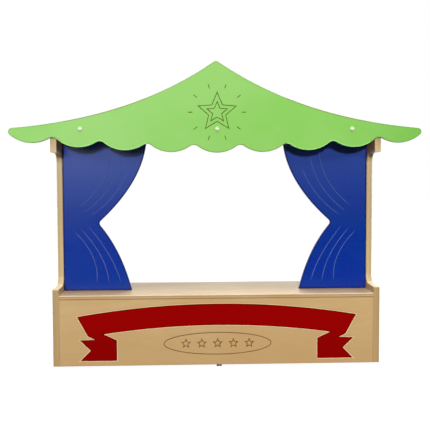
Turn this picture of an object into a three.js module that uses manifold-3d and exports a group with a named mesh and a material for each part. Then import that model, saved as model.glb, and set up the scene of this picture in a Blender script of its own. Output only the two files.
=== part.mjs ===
// Tabletop puppet theatre: two C-shaped side panels joined by a front panel, a shelf and a top board,
// with two draped curtain boards and a scalloped tent roof. Everything is screwed wood board.
// Lengths are in millimetres. X runs across the stage, Y from the audience to the back, Z up.
// The origin is the middle of the footprint, on the table top.
import * as THREE from 'three';
import { mergeVertices } from 'three/addons/utils/BufferGeometryUtils.js';
import Module from 'manifold-3d';

const wasm = await Module();
wasm.setup();

// Driving sizes of the body
const bodyWidth = 970;
const bodyDepth = 250;
const boardThickness = 18;
const shelfThickness = 12;
const frontPanelHeight = 198;
const stageHeight = 478;
const topBoardDepth = 120;

// Side panels: a post set back between a low shoulder and a flare that carries the roof
const postSetback = 90;
const shoulderRise = 18;
const flareHeight = 76;
const neckRadius = 30;
const sideEdgeRadius = 2;
const noseRadius = 4;

// Tent roof
const roofOverhang = 117;
const roofRise = 189;
const roofThickness = 12;
const roofEdgeRadius = 2;
const roofTipRadius = 11;
const scallopCount = 9;
const scallopRadius = 95;
const scallopNeckRadius = 20;
const scallopArchRadius = 5150;
const scallopDrop = 78;
const scallopPitchShare = 0.1134;
const roofSweepShares = [0.4115, 0.833];
const apexBlendShare = 0.03;

// Curtain boards, with the waist where the drape is gathered
const curtainThickness = 12;
const curtainSetback = 91;
const curtainEdgeRadius = 2;
const curtainTopWidth = 261.75;
const curtainWaistWidth = 105.75;
const curtainBottomWidth = 211.75;
const waistRise = 205;
const waistBlend = 12;
const upperDrapeShares = [0.013, 0.498];
const lowerDrapeShares = [0.33, 0.58];
const foldHalfWidth = 1.3;
const foldDepth = 1.6;
// Each fold is a curve from its loose end, past its control, to the gather: shares of width and height
const foldShares = [
  [[0.618, 0.052], [0.576, 0.224], [0.885, 0.387]],
  [[0.477, 0.052], [0.498, 0.217], [0.802, 0.402]],
  [[0.34, 0.054], [0.415, 0.218], [0.708, 0.414]],
  [[0.431, 0.893], [0.477, 0.671], [0.828, 0.536]],
  [[0.323, 0.872], [0.379, 0.654], [0.767, 0.498]],
  [[0.22, 0.797], [0.368, 0.588], [0.693, 0.479]],
];

// Ribbon let into the front panel
const ribbonPocketDepth = 3;
const ribbonThickness = 3;
const ribbonEdgeRadius = 0.5;
// Middle and end of the band's upper and lower arcs, as shares of half width and height
const bandTopShares = [0.921, 0.8876, 0.7414];
const bandBottomShares = [0.598, 0.7203, 0.4768];
// Corners from the band's upper end round the forked tail, as the same shares
const tailShares = [
  [0.8201, 0.447], [0.7769, 0.3965], [0.8709, 0.3904], [0.8034, 0.2333], [0.8694, 0.0773],
  [0.6381, 0.0758], [0.6381, 0.3859],
];

// Carved lines: the oval with its stars on the front panel, and the star badge on the roof
const carvedHalfWidth = 1.2;
const carvedDepth = 1.4;
const ovalHalfLength = 159;
const ovalHalfHeight = 32.6;
const ovalHeightShare = 0.322;
const ovalStarRadius = 13;
const ovalStarSpacing = 47;
const ovalStarCount = 5;
const badgeStarRadius = 58;
const badgeInnerRadius = 31;
const badgeHeightShare = 0.22;
const badgeRayCount = 10;
const badgeRayStart = 70;
const badgeRayLength = 16;
const starNotchShare = 0.45;
const starPoints = 5;
// Share of an open line over which each end runs out, and the share of its depth left at the very end
const lineTaperShare = 0.1667;
const lineTipShare = 0.12;
const mitreShare = 0.3;

// Clearances
const seam = 0.25;
const boreClearance = 0.2;
const overrun = 2;

// Screws through the side panels, the curtain screws and the roof screws
const sideScrew = { headRadius: 4.5, headHeight: 3, shankRadius: 3, length: 50 };
const curtainScrew = { headRadius: 3.5, headHeight: 2.5, shankRadius: 2, length: 32 };
const roofScrew = { headRadius: 4, headHeight: 3, shankRadius: 2.25, length: 45 };
const screwTipLength = 6;
const screwSides = 12;
const panelScrewShares = [0.2, 0.8];
const shelfScrewShares = [0.3, 0.85];
const topScrewShares = [0.25, 0.75];
const curtainScrewShares = [0.18, 0.8];
const roofScrewShare = 0.848;

// Domed covers over the screw heads
const sideCap = { radius: 5.5, rim: 0.6, dome: 1 };
const roofCap = { radius: 7, rim: 0.8, dome: 1.7 };
const crownShares = [0.35, 0.7];

// Dowels between front panel and shelf
const dowelRadius = 4;
const dowelInPanel = 20;
const dowelInShelf = 8;
const dowelShares = [-0.62, 0, 0.62];

// Nail-on glides under the side panels, and the small pair under the middle of the front panel
const glideHeight = 6;
const sideGlide = { radius: 6, pinRadius: 1.2, pinLength: 14 };
const middleGlide = { radius: 3.6, pinRadius: 0.9, pinLength: 10 };
const pinTipClearance = 0.75;
const pinTipLength = 0.25;
// Shares of radius and height from the sole up to the glide's full girth
const soleShares = [[0.7, 1], [0.94, 0.8], [1, 0.5]];
const sideGlideShares = [0.14, 0.88];
const middleGlideInset = 4.5;
const middleGlideSpacing = 7.8;
const middleGlideOffset = 4.5;

// Smoothness of curves, in steps
const arcSteps = 8;
const neckSteps = 4;
const apexSteps = 3;
const tipSteps = 6;
const roofSteps = 18;
const drapeSteps = 16;
const waistSteps = 5;
const foldSteps = 10;
const bowSteps = 16;
const ovalSteps = 40;
const raySteps = 5;
const noseSteps = 3;
const edgeSteps = 2;
const fineEdgeSteps = 1;

// Places worked out from the sizes
const innerHalf = bodyWidth / 2 - boardThickness;
const boardHalf = innerHalf - seam;
const roofWidth = bodyWidth + 2 * roofOverhang;
const openingTopHalf = boardHalf - curtainTopWidth;
const openingWaistHalf = boardHalf - curtainWaistWidth;
const openingBottomHalf = boardHalf - curtainBottomWidth;
const capReach = seam + roofCap.rim + roofCap.dome;
const backY = (bodyDepth + seam + roofThickness + capReach) / 2;
const frontY = backY - bodyDepth;
const baseZ = glideHeight;
const shelfBottomZ = baseZ + frontPanelHeight + seam;
const shelfTopZ = shelfBottomZ + shelfThickness;
const topBoardZ = shelfTopZ + stageHeight;
const bodyTopZ = topBoardZ + boardThickness;
const topScrewZ = topBoardZ + boardThickness / 2;

const finish = (color, roughness, metalness) => (
  new THREE.MeshStandardMaterial({ color, roughness, metalness }));
const wood = () => finish(0xcdb083, 0.55, 0);
const green = () => finish(0x8ad166, 0.4, 0);
const blue = () => finish(0x2546a0, 0.45, 0);
const red = () => finish(0x930a0a, 0.45, 0);
const steel = () => finish(0xb9bcc0, 0.35, 0.9);
const white = () => finish(0xe8ece6, 0.4, 0);
const brown = () => finish(0x4a3426, 0.5, 0);

const point = (x, y) => new THREE.Vector2(x, y);

// Points along an arc about a centre, from one angle to another
function arcRun(centre, radius, from, to, clockwise, steps = arcSteps) {
  return new THREE.EllipseCurve(centre.x, centre.y, radius, radius, from, to, clockwise).getPoints(steps);
}

function bendRun(start, control, end, steps) {
  return new THREE.QuadraticBezierCurve(start, control, end).getPoints(steps);
}

const angleTo = (from, to) => Math.atan2(to.y - from.y, to.x - from.x);

// Joins runs whose ends meet, leaving out each shared point
const chain = (...runs) => runs.flatMap((run, index) => (index < runs.length - 1 ? run.slice(0, -1) : run));

// Closes a right half that starts and ends on the middle line with its mirror image
function mirrored(half) {
  const left = half.slice(1, -1).reverse().map((p) => point(-p.x, p.y));
  return [...half, ...left];
}

// Board cut to an outline, with rounded edges, standing along Y behind its front face at zero
function standingBoard(outline, thickness, edge, bevelSegments) {
  const geometry = new THREE.ExtrudeGeometry(new THREE.Shape(outline), {
    depth: thickness - 2 * edge,
    bevelThickness: edge,
    bevelSize: edge,
    bevelOffset: -edge,
    bevelSegments,
    steps: 1,
  });
  return geometry.rotateX(Math.PI / 2).translate(0, thickness - edge, 0);
}

function toSolid(geometry) {
  const bare = geometry.clone();
  bare.deleteAttribute('normal');
  bare.deleteAttribute('uv');
  const merged = mergeVertices(bare);
  return new wasm.Manifold(new wasm.Mesh({
    numProp: 3,
    vertProperties: new Float32Array(merged.attributes.position.array),
    triVerts: new Uint32Array(merged.index.array),
  }));
}

function toGeometry(solid) {
  const cut = solid.getMesh();
  const geometry = new THREE.BufferGeometry();
  geometry.setAttribute('position', new THREE.BufferAttribute(cut.vertProperties, 3));
  geometry.setIndex(new THREE.BufferAttribute(cut.triVerts, 1));
  return geometry;
}

// Takes the cutters, which share the geometry's frame, out of it
function carve(geometry, cutters) {
  return toGeometry(cutters.reduce((solid, cutter) => solid.subtract(toSolid(cutter)), toSolid(geometry)));
}

// Turns a piece whose axis runs down from its head so that it points another way
const ways = {
  right: (geometry) => geometry.rotateZ(Math.PI / 2),
  left: (geometry) => geometry.rotateZ(-Math.PI / 2),
  back: (geometry) => geometry.rotateX(Math.PI),
  up: (geometry) => geometry.rotateX(-Math.PI / 2),
  down: (geometry) => geometry.rotateX(Math.PI / 2),
};

// Cutter for a hole that starts at a place on a face and runs one way into the board
function bore(at, way, radius, length) {
  const cutter = new THREE.CylinderGeometry(radius, radius, length + overrun, screwSides);
  cutter.translate(0, (overrun - length) / 2, 0);
  return ways[way](cutter).translate(at.x, at.y, at.z);
}

// Cutter for the clearance hole of a screw with its head sunk flush
function screwBore(at, way, screw) {
  const shank = bore(at, way, screw.shankRadius + boreClearance, screw.length + boreClearance);
  const head = bore(at, way, screw.headRadius + boreClearance, screw.headHeight + boreClearance);
  return [shank, head];
}

// Rings of a V groove along points on a board's front face, broad past the face and sharp at its bottom
function grooveRing(place, normal, halfWidth, depth) {
  const flare = 1 + overrun / depth;
  const side = normal.clone().multiplyScalar(halfWidth * flare);
  return [
    place.x + side.x, -overrun, place.y + side.y,
    place.x - side.x, -overrun, place.y - side.y,
    place.x, depth, place.y,
  ];
}

// Direction square to a run of points at one of them, lengthened at corners so that the width holds
function squareTo(points, index, closed) {
  const last = points.length - 1;
  const before = points[index > 0 ? index - 1 : closed ? last : 0];
  const after = points[index < last ? index + 1 : closed ? 0 : last];
  const here = points[index];
  const arrive = here.clone().sub(before).normalize();
  const leave = after.clone().sub(here).normalize();
  const along = arrive.clone().add(leave).normalize();
  const lean = Math.max(along.dot(arrive.length() > 0 ? arrive : leave), mitreShare);
  return point(-along.y, along.x).divideScalar(lean);
}

// Closed cutter from rings of three points, joined end to end or capped at both ends
function ringCutter(rings, closed) {
  const index = [];
  const links = closed ? rings.length : rings.length - 1;
  for (let link = 0; link < links; link += 1) {
    const a = link * 3;
    const b = ((link + 1) % rings.length) * 3;
    for (let corner = 0; corner < 3; corner += 1) {
      const next = (corner + 1) % 3;
      index.push(a + corner, a + next, b + corner, a + next, b + next, b + corner);
    }
  }
  const end = (rings.length - 1) * 3;
  if (!closed) index.push(0, 2, 1, end, end + 1, end + 2);
  const geometry = new THREE.BufferGeometry();
  geometry.setAttribute('position', new THREE.BufferAttribute(new Float32Array(rings.flat()), 3));
  geometry.setIndex(index);
  return geometry;
}

function turnedOut(geometry) {
  const solid = toSolid(geometry);
  if (solid.volume() > 0) return geometry;
  geometry.setIndex([...geometry.index.array].reverse());
  return geometry;
}

// V groove along open points, running out shallow and narrow at both ends
function openGroove(points, halfWidth, depth) {
  const last = points.length - 1;
  const rings = points.map((place, index) => {
    const near = Math.min(index, last - index) / last / lineTaperShare;
    const share = Math.sin((Math.PI / 2) * Math.min(Math.max(near, lineTipShare), 1));
    return grooveRing(place, squareTo(points, index, false), halfWidth * share, depth * share);
  });
  return turnedOut(ringCutter(rings, false));
}

// V groove round a closed run of points
function closedGroove(points, halfWidth, depth) {
  const rings = points.map((place, index) => (
    grooveRing(place, squareTo(points, index, true), halfWidth, depth)));
  return turnedOut(ringCutter(rings, true));
}

function starOutline(centre, radius) {
  const corners = [];
  for (let corner = 0; corner < 2 * starPoints; corner += 1) {
    const reach = corner % 2 === 0 ? radius : radius * starNotchShare;
    const angle = Math.PI / 2 + (corner * Math.PI) / starPoints;
    corners.push(point(centre.x + reach * Math.cos(angle), centre.y + reach * Math.sin(angle)));
  }
  return corners;
}

// Profile of a side panel in Y and Z, from its own lower front corner
function sideOutline() {
  const shoulderZ = frontPanelHeight + seam + shelfThickness + shoulderRise;
  const height = bodyTopZ - baseZ;
  const flareZ = height - flareHeight;
  const neckY = postSetback - neckRadius;
  const lowNeck = arcRun(point(neckY, shoulderZ + neckRadius), neckRadius, -Math.PI / 2, 0, false);
  const highNeck = arcRun(point(neckY, flareZ - neckRadius), neckRadius, 0, Math.PI / 2, false);
  return [
    point(0, 0), point(0, shoulderZ), ...lowNeck, ...highNeck,
    point(0, flareZ), point(0, height), point(bodyDepth, height), point(bodyDepth, 0),
  ];
}

// Lower edge of the roof's right half: scallops on a shallow arch, with rounded necks between them
function fringeRun() {
  const hub = point(0, scallopArchRadius);
  const centres = [];
  for (let count = 0; count <= (scallopCount - 1) / 2; count += 1) {
    const angle = (count * scallopPitchShare * roofWidth) / scallopArchRadius;
    const reach = scallopArchRadius - scallopRadius;
    centres.push(point(reach * Math.sin(angle), hub.y - reach * Math.cos(angle)));
  }
  const neck = (right, left) => {
    const half = right.distanceTo(left) / 2;
    const drop = Math.sqrt((scallopRadius + scallopNeckRadius) ** 2 - half ** 2);
    const along = right.clone().sub(left).normalize();
    return right.clone().add(left).multiplyScalar(0.5).add(point(along.y * drop, -along.x * drop));
  };
  const outer = centres[centres.length - 1];
  const tipX = roofWidth / 2 - roofTipRadius;
  const tipReach = scallopRadius - roofTipRadius;
  const tip = point(tipX, outer.y - Math.sqrt(tipReach ** 2 - (tipX - outer.x) ** 2));
  const runs = [];
  let from = angleTo(outer, tip);
  for (let index = centres.length - 1; index > 0; index -= 1) {
    const centre = centres[index];
    const next = centres[index - 1];
    const between = neck(centre, next);
    const ends = [angleTo(between, centre), angleTo(between, next)];
    runs.push(arcRun(centre, scallopRadius, from, angleTo(centre, between), true));
    runs.push(arcRun(between, scallopNeckRadius, ...ends, false, neckSteps));
    from = angleTo(next, between);
  }
  runs.push(arcRun(centres[0], scallopRadius, from, -Math.PI / 2, true, arcSteps / 2));
  return { tip, tipAngle: angleTo(outer, tip), run: chain(...runs) };
}

// Roof outline about the lowest point of its middle scallop
function roofOutline() {
  const { tip, tipAngle, run } = fringeRun();
  const apex = point(0, scallopDrop + roofRise);
  const control = point(
    roofSweepShares[0] * tip.x,
    apex.y - roofSweepShares[1] * (apex.y - tip.y),
  );
  const reach = control.distanceTo(tip);
  const rise = angleTo(control, tip) + Math.asin(roofTipRadius / reach);
  const straight = Math.sqrt(reach ** 2 - roofTipRadius ** 2);
  const touch = point(control.x + straight * Math.cos(rise), control.y + straight * Math.sin(rise));
  const shoulder = apex.clone().lerp(control, apexBlendShare);
  const crown = point(0, (apex.y + shoulder.y) / 2);
  const blend = bendRun(crown, apex.clone().lerp(shoulder, 0.5), shoulder, apexSteps);
  const sweep = bendRun(shoulder, control, touch, roofSteps);
  const round = arcRun(tip, roofTipRadius, angleTo(tip, touch), tipAngle, true, tipSteps);
  return mirrored(chain(blend, sweep, round, run));
}

// Outline of a curtain: straight at the side panel, with the drape gathered in at its waist
function curtainOutline(side) {
  const height = stageHeight - 2 * seam;
  const outer = boardHalf;
  const top = point(openingTopHalf, height);
  const waist = point(openingWaistHalf, waistRise);
  const bottom = point(openingBottomHalf, 0);
  const upper = point(
    top.x + upperDrapeShares[0] * (waist.x - top.x),
    top.y - upperDrapeShares[1] * (top.y - waist.y),
  );
  const lower = point(
    bottom.x + lowerDrapeShares[0] * (waist.x - bottom.x),
    bottom.y + lowerDrapeShares[1] * (waist.y - bottom.y),
  );
  const enter = waist.clone().add(upper.clone().sub(waist).setLength(waistBlend));
  const leave = waist.clone().add(lower.clone().sub(waist).setLength(waistBlend));
  const drape = chain(
    bendRun(top, upper, enter, drapeSteps),
    bendRun(enter, waist, leave, waistSteps),
    bendRun(leave, lower, bottom, drapeSteps),
  );
  return [...drape, point(outer, 0), point(outer, height)].map((p) => point(side * p.x, p.y));
}

function foldGrooves(side) {
  const height = stageHeight - 2 * seam;
  const place = ([across, up]) => point(side * (openingTopHalf + across * curtainTopWidth), up * height);
  return foldShares.map((fold) => {
    const [loose, control, gather] = fold.map(place);
    return openGroove(bendRun(loose, control, gather, foldSteps), foldHalfWidth, foldDepth);
  });
}

// Arc on the middle line through a height there and an end point, from the middle to that end
function bowRun(middleHeight, end) {
  const fall = middleHeight - end.y;
  const radius = (end.x ** 2 + fall ** 2) / (2 * fall);
  const centre = point(0, middleHeight - radius);
  return arcRun(centre, radius, Math.PI / 2, angleTo(centre, end), true, bowSteps);
}

// Ribbon outline from the front panel's lower edge: a bowed band with a forked tail at each end
function ribbonOutline() {
  const place = ([across, up]) => point(across * innerHalf, up * frontPanelHeight);
  const [topMiddle, ...topEnd] = bandTopShares;
  const [bottomMiddle, ...bottomEnd] = bandBottomShares;
  const top = bowRun(topMiddle * frontPanelHeight, place(topEnd));
  const bottom = bowRun(bottomMiddle * frontPanelHeight, place(bottomEnd)).reverse();
  return mirrored([...top, ...tailShares.map(place), ...bottom]);
}

// The same outline grown all round, for the pocket
function grown(outline, by) {
  return outline.map((place, index) => place.clone().addScaledVector(squareTo(outline, index, true), by));
}

function ovalGrooves() {
  const middle = point(0, ovalHeightShare * frontPanelHeight);
  const oval = new THREE.EllipseCurve(middle.x, middle.y, ovalHalfLength, ovalHalfHeight);
  const ring = closedGroove(oval.getPoints(ovalSteps).slice(0, -1), carvedHalfWidth, carvedDepth);
  const stars = [];
  for (let index = 0; index < ovalStarCount; index += 1) {
    const across = (index - (ovalStarCount - 1) / 2) * ovalStarSpacing;
    const outline = starOutline(point(across, middle.y), ovalStarRadius);
    stars.push(closedGroove(outline, carvedHalfWidth, carvedDepth));
  }
  return [ring, ...stars];
}

function badgeGrooves() {
  const centre = point(0, badgeHeightShare * (scallopDrop + roofRise) + badgeStarRadius);
  const stars = [badgeStarRadius, badgeInnerRadius].map((radius) => (
    closedGroove(starOutline(centre, radius), carvedHalfWidth, carvedDepth)));
  const rays = [];
  for (let ray = 0; ray < badgeRayCount; ray += 1) {
    const angle = Math.PI / 2 + ((ray + 0.5) * 2 * Math.PI) / badgeRayCount;
    const way = point(Math.cos(angle), Math.sin(angle));
    const line = [];
    for (let step = 0; step <= raySteps; step += 1) {
      const reach = badgeRayStart + (badgeRayLength * step) / raySteps;
      line.push(way.clone().multiplyScalar(reach).add(centre));
    }
    rays.push(openGroove(line, carvedHalfWidth, carvedDepth));
  }
  return [...stars, ...rays];
}

// Fasteners, each with the place of its head and the way it points
const spread = (start, length, shares) => shares.map((share) => start + share * length);

function sideScrewPlaces(side) {
  const faceX = side * (bodyWidth / 2);
  const way = side < 0 ? 'right' : 'left';
  const at = (y, z) => ({ at: new THREE.Vector3(faceX, y, z), way });
  const panelY = frontY + boardThickness / 2;
  const shelfZ = shelfBottomZ + shelfThickness / 2;
  return [
    ...spread(baseZ, frontPanelHeight, panelScrewShares).map((z) => at(panelY, z)),
    ...spread(frontY, bodyDepth, shelfScrewShares).map((y) => at(y, shelfZ)),
    ...spread(frontY, topBoardDepth, topScrewShares).map((y) => at(y, topScrewZ)),
  ];
}

function curtainScrewPlaces(side) {
  const y = frontY + curtainSetback + curtainThickness / 2;
  const low = spread(openingBottomHalf, curtainBottomWidth, curtainScrewShares);
  const high = spread(openingTopHalf, curtainTopWidth, curtainScrewShares);
  return [
    ...low.map((x) => ({ at: new THREE.Vector3(side * x, y, shelfBottomZ), way: 'up' })),
    ...high.map((x) => ({ at: new THREE.Vector3(side * x, y, bodyTopZ), way: 'down' })),
  ];
}

const roofFaceY = frontY - seam - roofThickness;
const roofScrewPlaces = [-1, 0, 1].map((step) => (
  { at: new THREE.Vector3(step * roofScrewShare * innerHalf, roofFaceY, topScrewZ), way: 'back' }));
const sideScrews = [-1, 1].flatMap(sideScrewPlaces);
const curtainScrews = [-1, 1].flatMap(curtainScrewPlaces);
const sideBores = sideScrews.flatMap(({ at, way }) => screwBore(at, way, sideScrew));
const curtainBores = curtainScrews.flatMap(({ at, way }) => screwBore(at, way, curtainScrew));
const roofBores = roofScrewPlaces.flatMap(({ at, way }) => screwBore(at, way, roofScrew));

const dowelPlaces = dowelShares.map((share) => (
  new THREE.Vector3(share * innerHalf, frontY + boardThickness / 2, shelfBottomZ - seam / 2)));
const dowelBores = dowelPlaces.flatMap((at) => [
  bore(at, 'down', dowelRadius + boreClearance, dowelInPanel + boreClearance),
  bore(at, 'up', dowelRadius + boreClearance, dowelInShelf + boreClearance),
]);

const sideGlidePlaces = [-1, 1].flatMap((side) => spread(frontY, bodyDepth, sideGlideShares).map((y) => (
  new THREE.Vector3(side * (bodyWidth - boardThickness) / 2, y, baseZ))));
const middleGlidePlaces = [-1, 1].map((side) => new THREE.Vector3(
  middleGlideOffset + side * middleGlideSpacing / 2, frontY + middleGlideInset, baseZ));
const glideBore = (glide) => (at) => bore(at, 'up', glide.pinRadius + boreClearance, glide.pinLength);
const glideBores = [
  ...sideGlidePlaces.map(glideBore(sideGlide)), ...middleGlidePlaces.map(glideBore(middleGlide))];

const group = new THREE.Group();
const boards = new THREE.Group();
const fasteners = new THREE.Group();
group.add(boards, fasteners);

function addMesh(parent, name, geometry, material, at) {
  const mesh = new THREE.Mesh(geometry, material);
  mesh.name = name;
  mesh.position.copy(at);
  parent.add(mesh);
}

// Adds a board whose own corner lies at a place, drilled by cutters that stand in the whole part's frame
function addBoard(name, geometry, material, at, bores) {
  const cutters = bores.map((cutter) => cutter.clone().translate(-at.x, -at.y, -at.z));
  addMesh(boards, name, carve(geometry, cutters), material, at);
}

function buildSidePanels() {
  const bores = [...sideBores, ...glideBores];
  for (const [name, x] of [['left_side_panel', -bodyWidth / 2], ['right_side_panel', innerHalf]]) {
    const panel = standingBoard(sideOutline(), boardThickness, sideEdgeRadius, edgeSteps);
    panel.rotateZ(Math.PI / 2).translate(boardThickness, 0, 0);
    addBoard(name, panel, wood(), new THREE.Vector3(x, frontY, baseZ), bores);
  }
}

// Board lying flat with the upper edge of its front rounded to a nose
function lyingBoard(depth, thickness) {
  const profile = [
    ...arcRun(point(noseRadius, thickness - noseRadius), noseRadius, Math.PI, Math.PI / 2, true, noseSteps),
    point(depth, thickness), point(depth, 0), point(0, 0),
  ];
  const length = { depth: 2 * boardHalf, bevelEnabled: false };
  const board = new THREE.ExtrudeGeometry(new THREE.Shape(profile), length);
  return board.rotateX(Math.PI / 2).rotateZ(Math.PI / 2).translate(-boardHalf, 0, 0);
}

function buildInnerBoards() {
  const shelf = lyingBoard(bodyDepth, shelfThickness);
  addBoard('shelf', shelf, wood(), new THREE.Vector3(0, frontY, shelfBottomZ), [
    ...sideBores, ...curtainBores, ...dowelBores]);
  const topBoard = lyingBoard(topBoardDepth, boardThickness);
  addBoard('top_board', topBoard, wood(), new THREE.Vector3(0, frontY, topBoardZ), [
    ...sideBores, ...curtainBores, ...roofBores]);
}

function buildFrontPanel() {
  const at = new THREE.Vector3(0, frontY, baseZ);
  const outline = [
    point(-boardHalf, 0), point(boardHalf, 0),
    point(boardHalf, frontPanelHeight), point(-boardHalf, frontPanelHeight),
  ];
  const panel = standingBoard(outline, boardThickness, ribbonEdgeRadius, fineEdgeSteps);
  const pocket = standingBoard(grown(ribbonOutline(), seam), ribbonPocketDepth + overrun, 0, fineEdgeSteps);
  pocket.translate(0, -overrun, 0);
  const carved = carve(panel, [pocket, ...ovalGrooves()]);
  addBoard('front_panel', carved, wood(), at, [...sideBores, ...dowelBores, ...glideBores]);
  const ribbon = standingBoard(ribbonOutline(), ribbonThickness, ribbonEdgeRadius, fineEdgeSteps);
  addMesh(boards, 'ribbon_inlay', ribbon, red(), new THREE.Vector3(0, frontY - seam, baseZ));
}

function buildRoof() {
  const roof = standingBoard(roofOutline(), roofThickness, roofEdgeRadius, edgeSteps);
  const at = new THREE.Vector3(0, roofFaceY, bodyTopZ - scallopDrop);
  addBoard('roof_panel', carve(roof, badgeGrooves()), green(), at, roofBores);
}

function buildCurtains() {
  const at = new THREE.Vector3(0, frontY + curtainSetback, shelfTopZ + seam);
  for (const [name, side] of [['left_curtain', -1], ['right_curtain', 1]]) {
    const board = standingBoard(curtainOutline(side), curtainThickness, curtainEdgeRadius, edgeSteps);
    addBoard(name, carve(board, foldGrooves(side)), blue(), at, curtainBores);
  }
}

// Turned pieces start at their head and run down their axis
const turned = (profile) => new THREE.LatheGeometry(profile.map(([x, y]) => point(x, y)), screwSides);

function screwGeometry({ headRadius, headHeight, shankRadius, length }) {
  const tip = [shankRadius, screwTipLength - length];
  return turned([[0, -length], tip, [shankRadius, -headHeight], [headRadius, 0], [0, 0]]);
}

function capGeometry({ radius, rim, dome }) {
  const crown = crownShares.map((share) => (
    [radius * Math.cos(share * Math.PI / 2), rim + dome * Math.sin(share * Math.PI / 2)]));
  return turned([[0, 0], [radius, 0], [radius, rim], ...crown, [0, rim + dome]]);
}

function glideGeometry({ radius, pinRadius, pinLength }) {
  const height = glideHeight - seam;
  const pinTop = pinLength - pinTipClearance;
  const sole = soleShares.map(([out, down]) => [radius * out, -height * down]);
  return turned([
    [0, -height], ...sole, [radius, 0], [pinRadius, 0], [pinRadius, pinTop - pinTipLength], [0, pinTop]]);
}

function buildFasteners() {
  const addAll = (name, places, make, material, shift) => places.forEach(({ at, way }, index) => {
    const along = ways[way](new THREE.BufferGeometry().setFromPoints([new THREE.Vector3(0, shift, 0)]));
    const offset = new THREE.Vector3().fromBufferAttribute(along.attributes.position, 0);
    addMesh(fasteners, `${name}_${index + 1}`, ways[way](make()), material(), offset.add(at));
  });
  addAll('side_screw', sideScrews, () => screwGeometry(sideScrew), steel, 0);
  addAll('side_screw_cap', sideScrews, () => capGeometry(sideCap), brown, seam);
  addAll('curtain_screw', curtainScrews, () => screwGeometry(curtainScrew), steel, 0);
  addAll('roof_screw', roofScrewPlaces, () => screwGeometry(roofScrew), steel, 0);
  addAll('roof_screw_cap', roofScrewPlaces, () => capGeometry(roofCap), white, seam);
}

function buildDowelsAndGlides() {
  dowelPlaces.forEach((at, index) => {
    const length = dowelInPanel + dowelInShelf;
    const dowel = new THREE.CylinderGeometry(dowelRadius, dowelRadius, length, screwSides);
    dowel.translate(0, (dowelInShelf - dowelInPanel) / 2, 0);
    addMesh(fasteners, `dowel_${index + 1}`, dowel.rotateX(Math.PI / 2), wood(), at);
  });
  const addGlide = (name, places, glide) => places.forEach((place, index) => {
    const at = place.clone().setZ(place.z - seam);
    addMesh(fasteners, `${name}_${index + 1}`, ways.down(glideGeometry(glide)), brown(), at);
  });
  addGlide('side_glide', sideGlidePlaces, sideGlide);
  addGlide('middle_glide', middleGlidePlaces, middleGlide);
}

buildSidePanels();
buildInnerBoards();
buildFrontPanel();
buildRoof();
buildCurtains();
buildFasteners();
buildDowelsAndGlides();

export default group;
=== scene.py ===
"""Dresses a tabletop puppet theatre: lacquered wood body, green tent roof and blue curtain boards."""

import logging
import math
from dataclasses import dataclass, replace
from enum import Enum
from typing import Iterator, Sequence

import bmesh
import bpy
from mathutils import Matrix, Vector
from mathutils.kdtree import KDTree


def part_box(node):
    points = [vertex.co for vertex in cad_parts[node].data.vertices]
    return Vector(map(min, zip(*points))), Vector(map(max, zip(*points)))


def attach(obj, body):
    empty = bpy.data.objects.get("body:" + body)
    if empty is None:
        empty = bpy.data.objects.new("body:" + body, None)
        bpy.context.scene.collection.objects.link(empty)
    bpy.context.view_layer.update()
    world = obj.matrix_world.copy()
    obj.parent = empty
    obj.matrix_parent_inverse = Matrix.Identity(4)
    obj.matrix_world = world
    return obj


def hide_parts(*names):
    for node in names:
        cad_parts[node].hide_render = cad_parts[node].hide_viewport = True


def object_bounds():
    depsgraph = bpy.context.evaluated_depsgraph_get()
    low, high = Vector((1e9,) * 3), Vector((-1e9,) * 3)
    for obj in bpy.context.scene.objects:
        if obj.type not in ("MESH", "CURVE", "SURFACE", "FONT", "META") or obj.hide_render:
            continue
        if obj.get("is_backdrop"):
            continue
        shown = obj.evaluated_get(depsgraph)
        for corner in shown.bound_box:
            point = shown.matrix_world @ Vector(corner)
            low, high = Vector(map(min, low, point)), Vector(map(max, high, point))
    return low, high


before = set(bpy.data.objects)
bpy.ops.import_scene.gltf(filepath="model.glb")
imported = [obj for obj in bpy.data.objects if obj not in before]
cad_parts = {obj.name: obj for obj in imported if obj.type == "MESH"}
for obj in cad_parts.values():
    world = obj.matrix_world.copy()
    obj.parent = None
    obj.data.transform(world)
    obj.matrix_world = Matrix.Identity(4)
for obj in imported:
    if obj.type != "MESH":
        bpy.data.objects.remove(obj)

Triple = tuple[float, float, float]
Colour = tuple[float, float, float, float]
Point = tuple[float, float]
Run = list[Point]

LOG = logging.getLogger("puppet_theatre")
CAD_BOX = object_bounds()
BODY = "root"
QUARTER = math.pi / 2
WHITE: Colour = (1.0, 1.0, 1.0, 1.0)

# A mark on a mesh's points: how much a point belongs to an edge, and which way that edge looks,
# which sets the painted light and shade along that edge.
RIM = "rim"
NO_RIM: Triple = (0.0, 0.0, 0.0)
# The share of a rim's fade on a broad face over which its painted light stays full.
RIM_SHARE = 0.4
# How far an edge looks up or down where it has the whole painted tone of a top or a low one.
RIM_TURN = 0.35

# Points nearer than this are taken as one.
SAME_PLACE = 1e-5
# Faces that meet at more than this have a crisp edge between them.
SHARP_ANGLE = math.radians(32)
# How much the larger of two faces that meet smoothly decides the shading between them.
FACE_WEIGHT = 100
# An offset at a corner is at most one over this as long as along a straight edge.
CORNER_LIMIT = 0.3

# A Mix node's sockets for colours: the factor, both colours and the result.
MIX_FACTOR, MIX_FIRST, MIX_SECOND, MIX_RESULT = 0, 6, 7, 2


def srgb(red: int, green: int, blue: int) -> Colour:
    """A linear colour from display levels.

    Args:
        red: The level of red, from 0 to 255.
        green: The level of green.
        blue: The level of blue.

    Returns:
        The colour, fully opaque.
    """
    levels = [level / 255 for level in (red, green, blue)]
    linear = [v / 12.92 if v <= 0.04045 else ((v + 0.055) / 1.055) ** 2.4 for v in levels]
    return (*linear, 1.0)


class Grain(Enum):
    """The way that the wood's fibres run, as the order of axes: along, across and through."""

    ACROSS_STAGE = (0, 1, 2)
    UPRIGHT = (2, 1, 0)


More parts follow.
